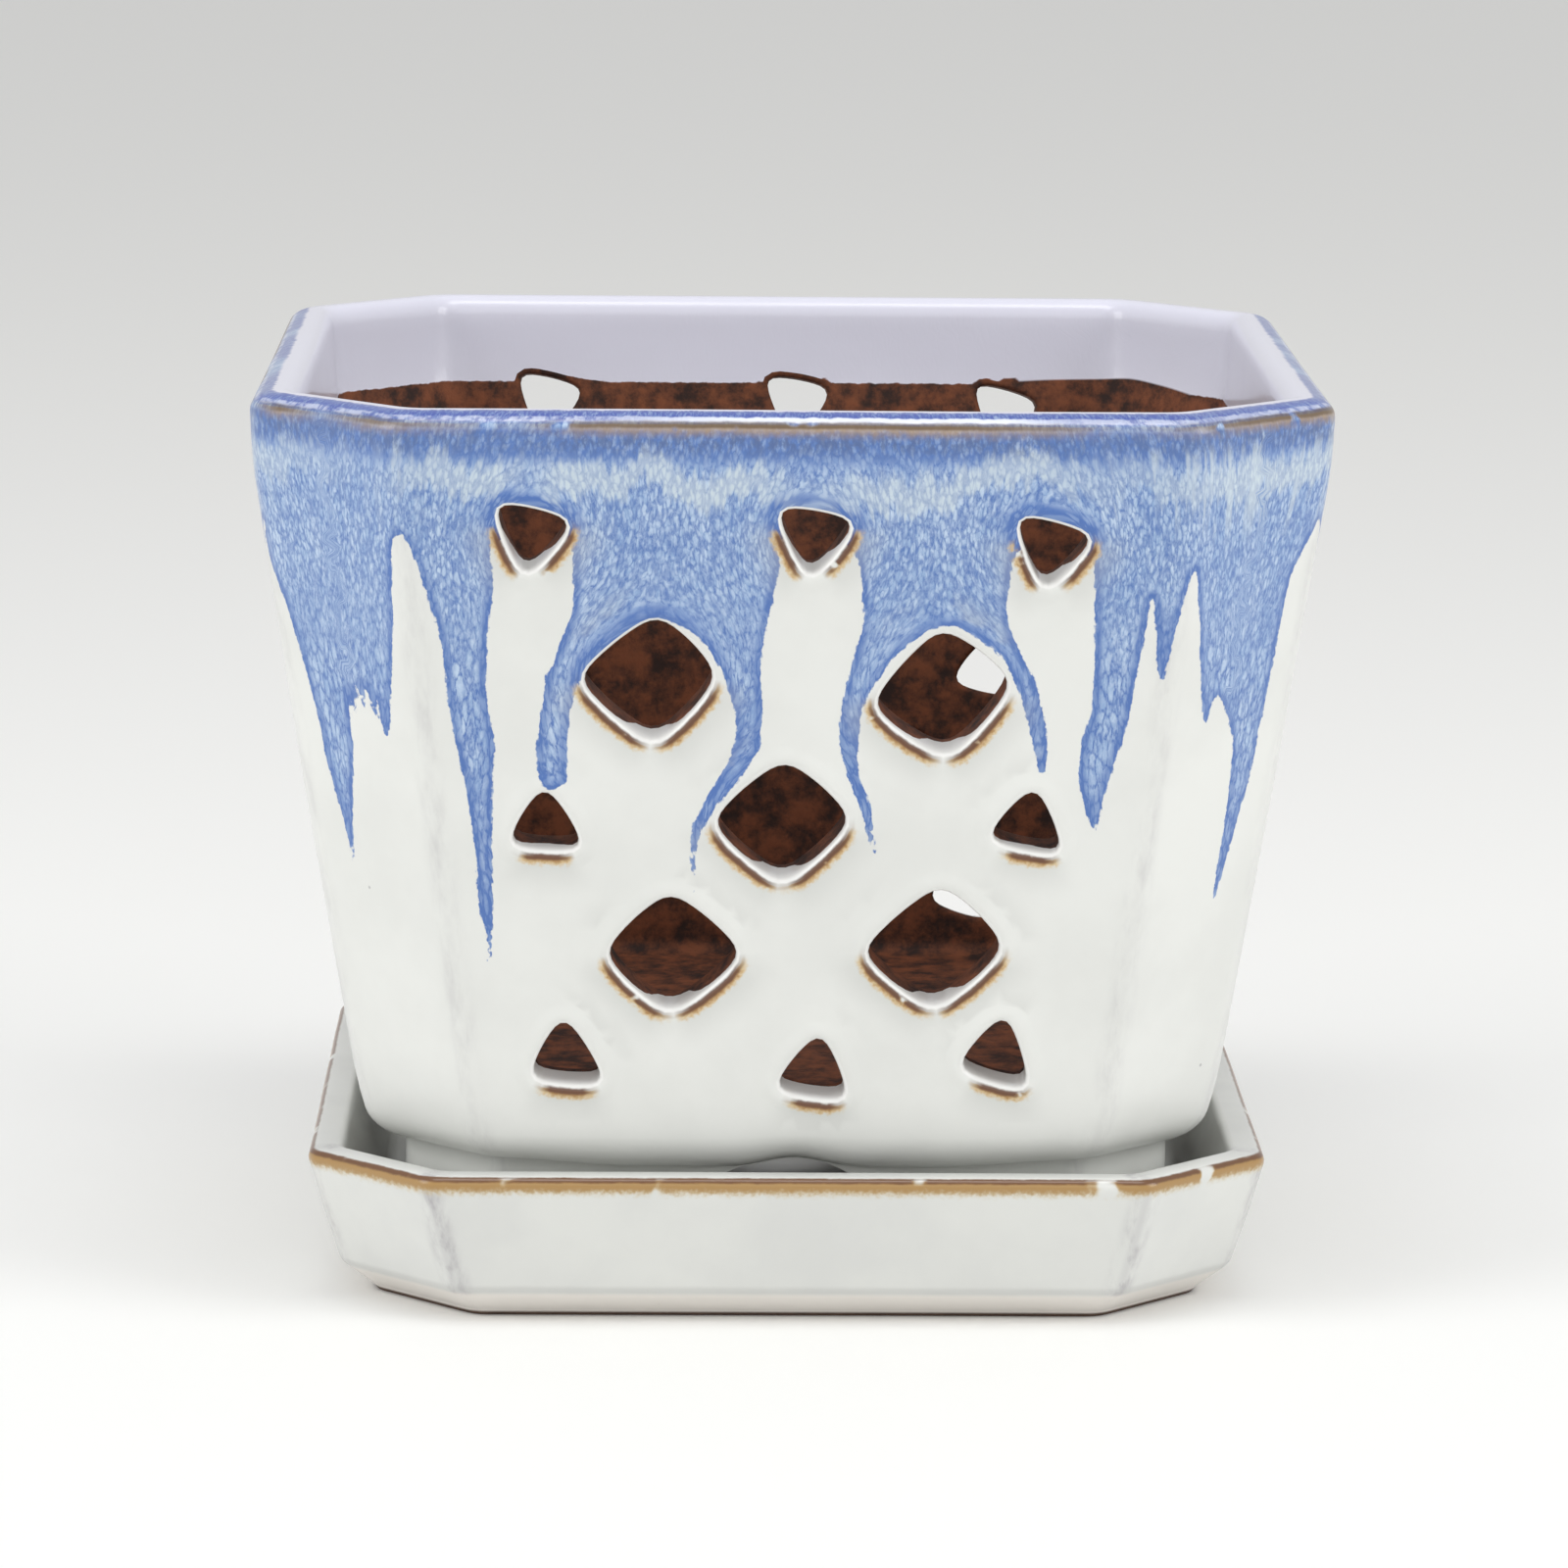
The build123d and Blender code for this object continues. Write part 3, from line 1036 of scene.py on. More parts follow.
def nearest(places: np.ndarray, targets: np.ndarray, batch: int = 4000) -> np.ndarray:
    """Distance from each place to the nearest target, a batch of places at a time."""
    batches = [places[first:first + batch, None] for first in range(0, len(places), batch)]
    return np.concatenate([np.min(np.linalg.norm(part - targets, axis=2), axis=1) for part in batches])


def inside_ring(places: np.ndarray, ring: np.ndarray) -> np.ndarray:
    """Which places lie inside a closed ring.

    Args:
        places: points to test.
        ring: the ring's points in order.

    Returns:
        True for each place inside.
    """
    start, stop = ring, np.roll(ring, -1, axis=0)
    level = places[:, 1, None]
    spans = (start[:, 1] > level) != (stop[:, 1] > level)
    height = stop[:, 1] - start[:, 1]
    height = np.where(np.abs(height) < 1e-12, 1e-12, height)
    cross = start[:, 0] + (level - start[:, 1]) / height * (stop[:, 0] - start[:, 0])
    return np.sum(spans & (cross > places[:, 0, None]), axis=1) % 2 == 1


def linear(code: str) -> tuple[float, float, float, float]:
    """A colour as the shader takes it.

    Args:
        code: the colour as seen, as six hexadecimal digits.

    Returns:
        Linear red, green, blue and alpha.
    """
    parts = [int(code[index:index + 2], 16) / 255 for index in (0, 2, 4)]
    light = [part / 12.92 if part <= 0.04045 else ((part + 0.055) / 1.055) ** 2.4 for part in parts]
    return (*light, 1.0)


class NodeBench:
    """Short ways to place and join the nodes of one tree."""

    def __init__(self, tree: bpy.types.NodeTree) -> None:
        """Take the tree to build in."""
        self.tree = tree

    def join(self, value: Value, socket: Socket) -> None:
        """Set a socket, or link another socket to it.

        Args:
            value: a plain value or an output.
            socket: the input.
        """
        if isinstance(value, Socket):
            self.tree.links.new(value, socket)
        else:
            socket.default_value = value

    def place(self, kind: str, inputs: dict[str | int, Value] | None = None,
              **settings: object) -> bpy.types.Node:
        """Place a node.

        Args:
            kind: the node's type.
            inputs: values by input name or number.
            settings: the node's own settings.

        Returns:
            The node.
        """
        node = self.tree.nodes.new(kind)
        node.location = (180 * (len(self.tree.nodes) % 12), -160 * (len(self.tree.nodes) // 12))
        for name, setting in settings.items():
            setattr(node, name, setting)
        for name, value in (inputs or {}).items():
            self.join(value, node.inputs[name])
        return node

    def maths(self, operation: str, *values: Value, clamp: bool = False) -> Socket:
        """One step of arithmetic; clamp keeps the result from 0 to 1."""
        inputs = dict(enumerate(values))
        return self.place("ShaderNodeMath", inputs, operation=operation, use_clamp=clamp).outputs[0]

    def plus(self, first: Value, second: Value) -> Socket:
        """Two values together."""
        return self.maths("ADD", first, second)

    def minus(self, first: Value, second: Value) -> Socket:
        """One value less another."""
        return self.maths("SUBTRACT", first, second)

    def times(self, first: Value, second: Value) -> Socket:
        """One value times another."""
        return self.maths("MULTIPLY", first, second)

    def over(self, value: Value, size: Value, clamp: bool = False) -> Socket:
        """One value divided by another."""
        return self.maths("DIVIDE", value, size, clamp=clamp)

    def whole(self, value: Value, size: Value) -> Socket:
        """How often a size fits whole into a value."""
        return self.maths("FLOOR", self.over(value, size))

    def scaled(self, value: Value, factor: Value, offset: Value) -> Socket:
        """A value times a factor, plus an offset."""
        return self.maths("MULTIPLY_ADD", value, factor, offset)

    def most(self, first: Value, second: Value) -> Socket:
        """The larger of two values."""
        return self.maths("MAXIMUM", first, second)

    def rest(self, share: Value) -> Socket:
        """What a share leaves of one."""
        return self.maths("SUBTRACT", 1.0, share)

    def ease(self, value: Value, low: Value, high: Value, start: float = 0.0, stop: float = 1.0) -> Socket:
        """Ease from start, where the value is still low, to stop, where it is high."""
        inputs = {"Value": value, "From Min": low, "From Max": high, "To Min": start, "To Max": stop}
        return self.place("ShaderNodeMapRange", inputs, interpolation_type="SMOOTHSTEP").outputs["Result"]

    def window(self, value: Value, rise: Range, fall: Range) -> Socket:
        """A mask that goes from 0 to 1 over rise and back to 0 over fall."""
        return self.maths("MULTIPLY", self.ease(value, *rise), self.ease(value, *fall, 1.0, 0.0))

    def mix(self, share: Value, first: Value | str, second: Value | str) -> Socket:
        """Mix two colours.

        Args:
            share: how much of the second.
            first: the first colour, as an output or as six hexadecimal digits.
            second: the second colour.

        Returns:
            The mixed colour.
        """
        first, second = (linear(code) if isinstance(code, str) else code for code in (first, second))
        inputs = {"Factor": share, 6: first, 7: second}
        return self.place("ShaderNodeMix", inputs, data_type="RGBA").outputs[2]

    def noise(self, vector: Value, scale: float, detail: float = 2.0, rough: float = 0.5) -> Socket:
        """Soft noise about one half; scale is how fine, rough how strong its finer layers are."""
        inputs = {"Vector": vector, "Scale": scale, "Detail": detail, "Roughness": rough}
        return self.place("ShaderNodeTexNoise", inputs).outputs["Fac"]

    def stretched(self, vector: Value, scale: tuple[float, float, float]) -> Socket:
        """Pattern coordinates with another scale along each axis."""
        return self.place("ShaderNodeMapping", {"Vector": vector, "Scale": scale}).outputs["Vector"]

    def drawn(self, flow: Value, across: float, down: float, detail: float = 2.0,
              rough: float = 0.5) -> Socket:
        """Noise drawn out along the third coordinate, such as the flow of a running glaze."""
        return self.noise(self.stretched(flow, (across, across, down)), 1.0, detail, rough)

    def between(self, share: Value, first: Value, second: Value) -> Socket:
        """A value between two others, by the share of the second."""
        inputs = {"Factor": share, 2: first, 3: second}
        return self.place("ShaderNodeMix", inputs, data_type="FLOAT").outputs[0]

    def vectors(self, operation: str, inputs: dict[str | int, Value]) -> bpy.types.Node:
        """One step of arithmetic on vectors, as its node."""
        return self.place("ShaderNodeVectorMath", inputs, operation=operation)

    def channel(self, colour: Value) -> Socket:
        """The first channel of a colour."""
        return self.place("ShaderNodeSeparateColor", {"Color": colour}).outputs[0]

    def reading(self, name: str, output: str = "Fac") -> Socket:
        """A surface value of the piece: Fac of the attribute for a number, Vector for coordinates."""
        return self.place("ShaderNodeAttribute", attribute_name=name).outputs[output]


class Effects:
    """The shader node groups that both glazed pieces use."""

    def __init__(self) -> None:
        """Build the groups."""
        self.running = self.running_glaze()
        self.thin = self.thin_glaze()
        self.white = self.fired_white()

    @staticmethod
    def group(name: str, inputs: dict[str, float | tuple[float, ...] | None],
              outputs: tuple[str, ...]) -> tuple[NodeBench, Outputs]:
        """Start a group.

        Args:
            name: its name.
            inputs: first values by name: a number, a colour, or None for coordinates.
            outputs: the names of what it puts out, each a number but for Color.

        Returns:
            The bench and the group's inputs.
        """
        tree = bpy.data.node_groups.new(name, "ShaderNodeTree")
        for title, value in inputs.items():
            kind = {float: "NodeSocketFloat", tuple: "NodeSocketColor"}.get(type(value), "NodeSocketVector")
            socket = tree.interface.new_socket(name=title, in_out="INPUT", socket_type=kind)
            if value is not None:
                socket.default_value = value
        for title in outputs:
            kind = "NodeSocketColor" if title == "Color" else "NodeSocketFloat"
            tree.interface.new_socket(name=title, in_out="OUTPUT", socket_type=kind)
        bench = NodeBench(tree)
        return bench, bench.place("NodeGroupInput").outputs

    def running_glaze(self) -> bpy.types.NodeTree:
        """Light cells with darker strands between them, drawn out along the flow of a running glaze.

        Returns:
            The group.
        """
        bench, given = self.group(
            "running_glaze", {"Flow": None, "Cell Width": 1.1, "Cell Length": 2.8, "Borders": 0.5},
            ("Strand", "Fibre", "Tone"),
        )
        wide = bench.over(1.0, given["Cell Width"])
        long = bench.over(1.0, given["Cell Length"])
        scale = bench.place("ShaderNodeCombineXYZ", {"X": wide, "Y": wide, "Z": long}).outputs[0]
        lanes = bench.vectors("MULTIPLY", {0: given["Flow"], 1: scale}).outputs[0]
        stir = bench.place("ShaderNodeTexNoise", {"Vector": lanes, "Scale": 0.8, "Detail": 3.0})
        shift = bench.vectors("MULTIPLY", {0: stir.outputs["Color"], 1: (1.5, 1.5, 1.5)}).outputs[0]
        stirred = bench.vectors("ADD", {0: lanes, 1: shift}).outputs[0]
        inputs = {"Vector": stirred, "Scale": 1.0}
        cells = bench.place("ShaderNodeTexVoronoi", inputs, feature="F1").outputs
        edges = bench.place("ShaderNodeTexVoronoi", inputs, feature="DISTANCE_TO_EDGE").outputs
        hollow = bench.ease(cells["Distance"], 0.22, 0.62)
        border = bench.ease(edges["Distance"], 0.02, 0.2, 1.0, 0.0)
        fibre = bench.noise(stirred, 1.7, 4.0, 0.7)
        bench.place("NodeGroupOutput", {
            "Strand": bench.between(given["Borders"], hollow, border),
            "Fibre": bench.ease(fibre, 0.34, 0.66),
            "Tone": bench.channel(cells["Color"]),
        })
        return bench.tree

    def thin_glaze(self) -> bpy.types.NodeTree:
        """A dark line where a glaze breaks thin over an edge, and the warm glow beside it.

        Returns:
            The group.
        """
        bench, given = self.group(
            "thin_glaze",
            {"Place": None, "Gap": 0.0, "Line": 0.4, "Glow": 2.0, "Breaks": 0.5, "Break Size": 0.1},
            ("Line", "Glow"),
        )
        place, width = given["Place"], given["Line"]
        wander = bench.scaled(bench.noise(place, 0.35, 3.0, 0.6), 0.7, -0.35)
        gap = bench.plus(given["Gap"], wander)
        inner, outer = bench.times(width, 0.45), bench.times(width, 1.35)
        line = bench.rest(bench.ease(bench.maths("ABSOLUTE", gap), inner, outer))
        fray = bench.scaled(bench.noise(place, 1.1), 1.8, -0.9)
        frayed = bench.plus(gap, bench.times(fray, bench.ease(gap, 0.2, 1.2)))
        glow = bench.rest(bench.ease(frayed, 0.0, given["Glow"]))
        glow = bench.times(glow, bench.ease(gap, -0.25, 0.1))
        sized = bench.vectors("SCALE", {0: place, "Scale": given["Break Size"]}).outputs[0]
        low = bench.scaled(given["Breaks"], 0.4, 0.22)
        held = bench.ease(bench.noise(sized, 1.0), low, bench.plus(low, 0.12))
        bench.place("NodeGroupOutput", {"Line": bench.times(line, held), "Glow": bench.times(glow, held)})
        return bench.tree

    def fired_white(self) -> bpy.types.NodeTree:
        """Uneven white glaze: specks, pinholes, smudges where it thins and painted shade on upright edges.

        Returns:
            The group.
        """
        bench, given = self.group(
            "fired_white",
            {"Place": None, "Crease": 9.0, "Smudge And Shade": 0.34, "White": linear("e4e5e1"),
             "Shade": linear("dedfdb"), "Speck And Shade": linear("928d94")},
            ("Color", "Height", "Mottle"),
        )
        place, crease = given["Place"], given["Crease"]
        mottle = bench.ease(bench.noise(place, 0.035, 4.0, 0.55), 0.35, 0.7)
        base = bench.mix(mottle, given["White"], given["Shade"])
        streak = bench.ease(bench.drawn(place, 0.25, 0.06, 4.0, 0.65), 0.36, 0.85)
        smudge_and_shade = bench.times(bench.ease(crease, 0.0, 4.6, 1.0, 0.0), streak)
        # Painted shade: a soft grey line down the middle of every upright edge.
        line = bench.ease(crease, 0.2, 1.7, 0.22, 0.0)
        smudge_and_shade = bench.times(bench.most(smudge_and_shade, line), given["Smudge And Shade"])
        base = bench.mix(smudge_and_shade, base, given["Speck And Shade"])
        dots = bench.place("ShaderNodeTexVoronoi", {"Vector": place, "Scale": 0.16}, feature="F1").outputs
        few = bench.ease(bench.channel(dots["Color"]), 0.9, 0.96)
        speck = bench.times(few, bench.ease(dots["Distance"], 0.03, 0.075, 1.0, 0.0))
        ripple = bench.noise(place, 0.07, 2.0, 0.35)
        bench.place("NodeGroupOutput", {
            "Color": bench.mix(bench.times(speck, 0.6), base, given["Speck And Shade"]),
            "Height": bench.minus(ripple, bench.times(speck, 0.25)),
            "Mottle": mottle,
        })
        return bench.tree


def new_finish(name: str) -> tuple[bpy.types.Material, NodeBench, Socket]:
    """Start a material.

    Args:
        name: its name.

    Returns:
        The material, its bench, and the place on the piece in millimetres.
    """
    material = bpy.data.materials.new(name)
    material.use_nodes = True
    material.node_tree.nodes.clear()
    bench = NodeBench(material.node_tree)
    place = bench.place("ShaderNodeTexCoord").outputs["Object"]
    return material, bench, bench.stretched(place, (1 / MM,) * 3)


@dataclass(frozen=True)
class Gloss:
    """How a fired surface shines."""

    rough: float = 0.3
    rough_change: float = 0.06
    coat: float = 0.45
    coat_rough: float = 0.1
    bump: float = 0.45
    bump_depth: float = 0.35

    def dress(self, bench: NodeBench, colour: Value, height: Value, mottle: Value, bare: Value,
              bare_rough: float) -> None:
        """Place the shader: glossy under a clear coat where there is glaze, dull where the clay is bare.

        Args:
            bench: the material's bench.
            colour: the surface's colour.
            height: its relief.
            mottle: mask of the glaze's duller patches.
            bare: share of bare clay.
            bare_rough: how dull bare clay is.
        """
        depth = self.bump_depth * MM
        bump = bench.place("ShaderNodeBump", {"Height": height, "Strength": self.bump, "Distance": depth})
        shine = bench.scaled(mottle, self.rough_change, self.rough)
        shader = bench.place("ShaderNodeBsdfPrincipled", {
            "Base Color": colour,
            "Roughness": bench.plus(shine, bench.times(bare, bare_rough - self.rough)),
            "Coat Weight": bench.times(bench.rest(bare), self.coat),
            "Coat Roughness": self.coat_rough,
            "Normal": bump.outputs["Normal"],
        })
        bench.place("ShaderNodeOutputMaterial", {"Surface": shader.outputs[0]})


@dataclass(frozen=True)
class BareClay:
    """Unglazed stoneware."""

    light: str = "7d4629"
    dark: str = "2b1710"
    rough: float = 0.8


@dataclass(frozen=True)
class ThinEdge:
    """How a glaze thins over an edge: widths of its line and glow, how much they break up, and how finely."""

    line: float
    glow: float
    breaks: float
    size: float

    def shown(self, bench: NodeBench, effects: Effects, place: Value, gap: Value) -> Outputs:
        """Nodes for the line and the glow.

        Args:
            bench: the material's bench.
            effects: the shared node groups.
            place: pattern coordinates.
            gap: distance from the middle of the line, towards the glow.

        Returns:
            The masks Line and Glow.
        """
        return bench.place("ShaderNodeGroup", {
            "Place": place, "Gap": gap, "Line": self.line, "Glow": self.glow, "Breaks": self.breaks,
            "Break Size": self.size,
        }, node_tree=effects.thin).outputs


@dataclass(frozen=True)
class Stretch:
    """Where along the front a finish shows: places to the right of the middle, with its strength there."""

    stops: Outline
    half: float = 110.0

    def mask(self, bench: NodeBench, across: Value) -> Socket:
        """Nodes for the strength.

        Args:
            bench: the material's bench.
            across: place to the right of the middle.

        Returns:
            The strength.
        """
        share = bench.scaled(across, 0.5 / self.half, 0.5)
        ramp = bench.place("ShaderNodeValToRGB", {"Fac": share})
        bands = ramp.color_ramp.elements
        for index, (place, strength) in enumerate(self.stops):
            spot = 0.5 + place * 0.5 / self.half
            band = bands[index] if index < 2 else bands.new(spot)
            band.position = spot
            band.color = (strength, strength, strength, 1.0)
        return ramp.outputs["Color"]


@dataclass(frozen=True)
class PotGlaze:
    """White glaze with blue running down over it, thin and brown over edges, bare clay inside.

    Ranges and bands are lengths along the profile, past the top of the outer face.
    """

    gloss: Gloss = Gloss()
    clay: BareClay = BareClay()
    pale: str = "bdd0e6"
    middle: str = "87a5ce"
    deep: str = "436bb0"
    rim: str = "4257a6"
    # Colour of a painted highlight along the rim.
    painted_rim_highlight: str = "e4e9f6"
    wash: str = "dcdcea"
    cloud: str = "c9d5da"
    lip: str = "ebebe8"
    line: str = "5e3418"
    halo: str = "d3b680"
    glow: str = "a2722f"
    # Colour of a painted shadow below the slots' low sides.
    shadow: str = "b9bab6"
    rim_line: str = "5c4831"
    rim_glow: str = "b0905a"
    fleck: str = "4a5f8c"
    rim_edge: ThinEdge = ThinEdge(line=0.8, glow=3.2, breaks=0.1, size=0.3)
    rim_edge_place: float = 1.9
    slot_edge: ThinEdge = ThinEdge(line=0.65, glow=2.5, breaks=0.05, size=0.25)
    slot_edge_place: float = 1.25
    fine_to_coarse: Range = (-24.0, -52.0)
    deep_band: Band = ((-9.0, -3.5), (0.5, 2.0))
    cloud_band: Band = ((-13.0, -10.5), (-7.5, -4.0))
    stream_band: Band = ((-24.0, -12.0), (-4.0, -1.0))
    # Where a painted highlight streaks down the upright edges below the rim.
    painted_edge_highlight_band: Band = ((-13.0, -6.0), (-1.5, 0.5))
    fleck_band: Band = ((-5.5, -1.5), (0.6, 1.6))
    # Where the rim's painted highlight lies along the profile.
    painted_rim_highlight_band: Band = ((2.2, 2.7), (3.3, 3.8))
    rim_band: Band = ((1.8, 2.8), (5.3, 5.9))
    wash_from: Range = (5.0, 5.8)
    bare_from: Range = (31.5, 32.2)
    under_foot: Range = (-185.0, -175.0)
    front_face: Range = (-74.0, -66.0)
    # Where along the front the rim's painted highlight shows.
    painted_rim_highlight_on: Stretch = Stretch((
        (-104, 0.1), (-84, 0.15), (-70, 0.3), (-42, 0.25), (-28, 0.8), (-10, 1.0), (40, 1.0), (58, 0.5),
        (72, 0.3), (84, 0.7), (94, 0.4), (104, 0.2),
    ))
    streams_on: Stretch = Stretch((
        (-104, 0.3), (-78, 0.2), (-60, 0.0), (54, 0.0), (64, 0.8), (92, 0.9), (104, 0.7),
    ))
    rim_line_on: Stretch = Stretch((
        (-104, 0.0), (-98, 0.9), (-90, 0.15), (-80, 0.75), (-68, 0.4), (-52, 0.1), (-40, 0.85), (-10, 1.0),
        (30, 0.95), (50, 0.6), (62, 0.1), (76, 0.5), (86, 0.9), (104, 1.0),
    ))
    cloud_on: Stretch = Stretch((
        (-104, 0.75), (-92, 0.35), (-80, 0.1), (-70, 0.75), (-56, 0.85), (-50, 0.1), (-44, 0.9), (-26, 0.8),
        (-10, 1.0), (2, 0.15), (14, 0.75), (30, 0.8), (46, 0.85), (58, 0.3), (70, 0.6), (88, 0.9),
    ))

    def material(self, effects: Effects) -> bpy.types.Material:
        """Make the material.

        Args:
            effects: the shared node groups.

        Returns:
            The material.
        """
        material, bench, place = new_finish("pot_glaze_finish")
        spot = bench.place("ShaderNodeSeparateXYZ", {"Vector": place}).outputs
        front = bench.ease(spot["Y"], *self.front_face, 1.0, 0.0)
        rim, blue = bench.reading("rim"), bench.reading("blue")
        gap, low, crease = bench.reading("slot_gap"), bench.reading("slot_low"), bench.reading("crease")
        flow = bench.reading("flow", "Vector")
        inputs = {"Place": place, "Crease": crease}
        white = bench.place("ShaderNodeGroup", inputs, node_tree=effects.white).outputs
        fine = self.running(bench, effects, flow, 0.75, 2.0, 0.2)
        coarse = self.running(bench, effects, flow, 1.3, 3.6, 0.55)
        colour = self.blue_colour(bench, fine, coarse, rim, flow, blue, gap)
        colour = self.cloud_colour(bench, colour, fine, rim, flow, crease, spot["X"], front)
        fringe = bench.scaled(bench.noise(place, 0.9), 0.9, -0.45)
        fringe = bench.plus(fringe, bench.scaled(bench.drawn(flow, 0.8, 0.12), 1.3, -0.65))
        edge = bench.ease(bench.plus(blue, fringe), -0.1, 0.18)
        edge = bench.times(edge, bench.ease(gap, 0.5, 0.75))
        colour = bench.mix(edge, white["Color"], colour)
        colour = self.rim_colour(bench, effects, colour, fine, rim, flow, spot["X"], front)
        colour = self.slot_colour(bench, effects, colour, gap, low, place)
        bare = self.bare_share(bench, rim, place)
        grain = bench.noise(place, 0.16, 6.0, 0.7)
        clay = bench.mix(bench.ease(grain, 0.35, 0.65), self.clay.dark, self.clay.light)
        colour = bench.mix(bare, colour, clay)
        thick = bench.times(bench.ease(blue, -0.2, 1.0), 0.3)
        strands = bench.times(bench.times(coarse["Strand"], edge), -0.05)
        height = bench.plus(white["Height"], bench.plus(thick, strands))
        height = bench.plus(height, bench.times(bench.times(grain, bare), 1.6))
        self.gloss.dress(bench, colour, height, white["Mottle"], bare, self.clay.rough)
        return material

    @staticmethod
    def running(bench: NodeBench, effects: Effects, flow: Value, width: float, length: float,
                borders: float) -> Outputs:
        """Place the running glaze's group."""
        inputs = {"Flow": flow, "Cell Width": width, "Cell Length": length, "Borders": borders}
        return bench.place("ShaderNodeGroup", inputs, node_tree=effects.running).outputs

    def blue_colour(self, bench: NodeBench, fine: Outputs, coarse: Outputs, rim: Value, flow: Value,
                    blue: Value, gap: Value) -> Socket:
        """Colour of the blue: fine and streaky above, in drawn-out cells where it runs, deep at its edges.

        Args:
            bench: the material's bench.
            fine: the running glaze in small cells.
            coarse: the running glaze in large cells.
            rim: distance along the profile past the outer face.
            flow: the running glaze's coordinates.
            blue: depth inside the blue.
            gap: distance from a slot.

        Returns:
            The colour.
        """
        runs = bench.ease(rim, *self.fine_to_coarse)
        strand = bench.between(runs, fine["Strand"], coarse["Strand"])
        tone = bench.between(runs, fine["Tone"], coarse["Tone"])
        tone = bench.scaled(tone, 0.45, bench.times(fine["Fibre"], 0.55))
        patch = bench.scaled(bench.drawn(flow, 0.16, 0.06), 1.4, -0.7)
        colour = bench.mix(bench.maths("ADD", tone, patch, clamp=True), self.pale, self.middle)
        depth = bench.times(strand, bench.scaled(runs, 0.1, 0.78))
        depth = bench.times(depth, bench.scaled(fine["Fibre"], 0.6, 0.6))
        pool = bench.most(bench.ease(blue, 0.6, 2.6, 0.95, 0.0), bench.ease(gap, 1.6, 5.6, 1.0, 0.0))
        pool = bench.most(pool, bench.times(bench.window(rim, *self.deep_band), 0.85))
        depth = bench.most(depth, bench.times(pool, bench.scaled(strand, 0.45, 0.65)))
        return bench.mix(depth, colour, self.deep)

    def cloud_colour(self, bench: NodeBench, colour: Value, fine: Outputs, rim: Value, flow: Value,
                     crease: Value, across: Value, front: Value) -> Socket:
        """Pale streaky clouds below the rim, and a painted highlight in pale streaks down the upright edges.

        Args:
            bench: the material's bench.
            colour: the colour so far.
            fine: the running glaze in small cells.
            rim: distance along the profile past the outer face.
            flow: the running glaze's coordinates.
            crease: distance from an upright edge.
            across: place to the right of the front's middle.
            front: share of the front.

        Returns:
            The new colour.
        """
        comb = bench.drawn(flow, 0.55, 0.06, 4.0, 0.65)
        sway = bench.drawn(flow, 0.075, 0.02)
        level = bench.plus(rim, bench.scaled(comb, 14.0, -7.0))
        level = bench.plus(level, bench.scaled(sway, 19.0, -9.5))
        chance = bench.ease(bench.drawn(flow, 0.05, 0.03), 0.42, 0.56)
        chosen = bench.times(self.cloud_on.mask(bench, across), front)
        chance = bench.plus(chosen, bench.times(chance, bench.rest(front)))
        cloud = bench.times(bench.window(level, *self.cloud_band), chance)
        cloud = bench.times(cloud, bench.scaled(fine["Strand"], -0.35, 0.88))
        streams = bench.ease(bench.drawn(flow, 0.42, 0.03, 3.0, 0.55), 0.5, 0.64)
        streams = bench.times(streams, bench.window(rim, *self.stream_band))
        chosen = bench.times(self.streams_on.mask(bench, across), front)
        streams = bench.times(streams, bench.times(chosen, 0.75))
        # Painted highlight: pale streaks down the upright edges just below the rim.
        streak = bench.times(bench.ease(crease, 0.2, 1.9, 0.7, 0.0), bench.window(level, *self.painted_edge_highlight_band))
        streak = bench.most(streams, bench.times(streak, bench.ease(comb, 0.35, 0.6)))
        return bench.mix(bench.most(cloud, streak), colour, self.cloud)

    def rim_colour(self, bench: NodeBench, effects: Effects, colour: Value, fine: Outputs, rim: Value,
                   flow: Value, across: Value, front: Value) -> Socket:
        """Deep blue over the rim, a painted highlight line below it, then the brown line and its dark flecks.

        Args:
            bench: the material's bench.
            effects: the shared node groups.
            colour: the colour so far.
            fine: the running glaze in small cells.
            rim: distance along the profile past the outer face.
            flow: the running glaze's coordinates.
            across: place to the right of the front's middle.
            front: share of the front.

        Returns:
            The new colour.
        """
        lumps = bench.drawn(flow, 0.5, 0.3)
        place = bench.plus(rim, bench.scaled(lumps, 1.0, -0.5))
        colour = bench.mix(bench.ease(place, *self.wash_from), colour, self.wash)
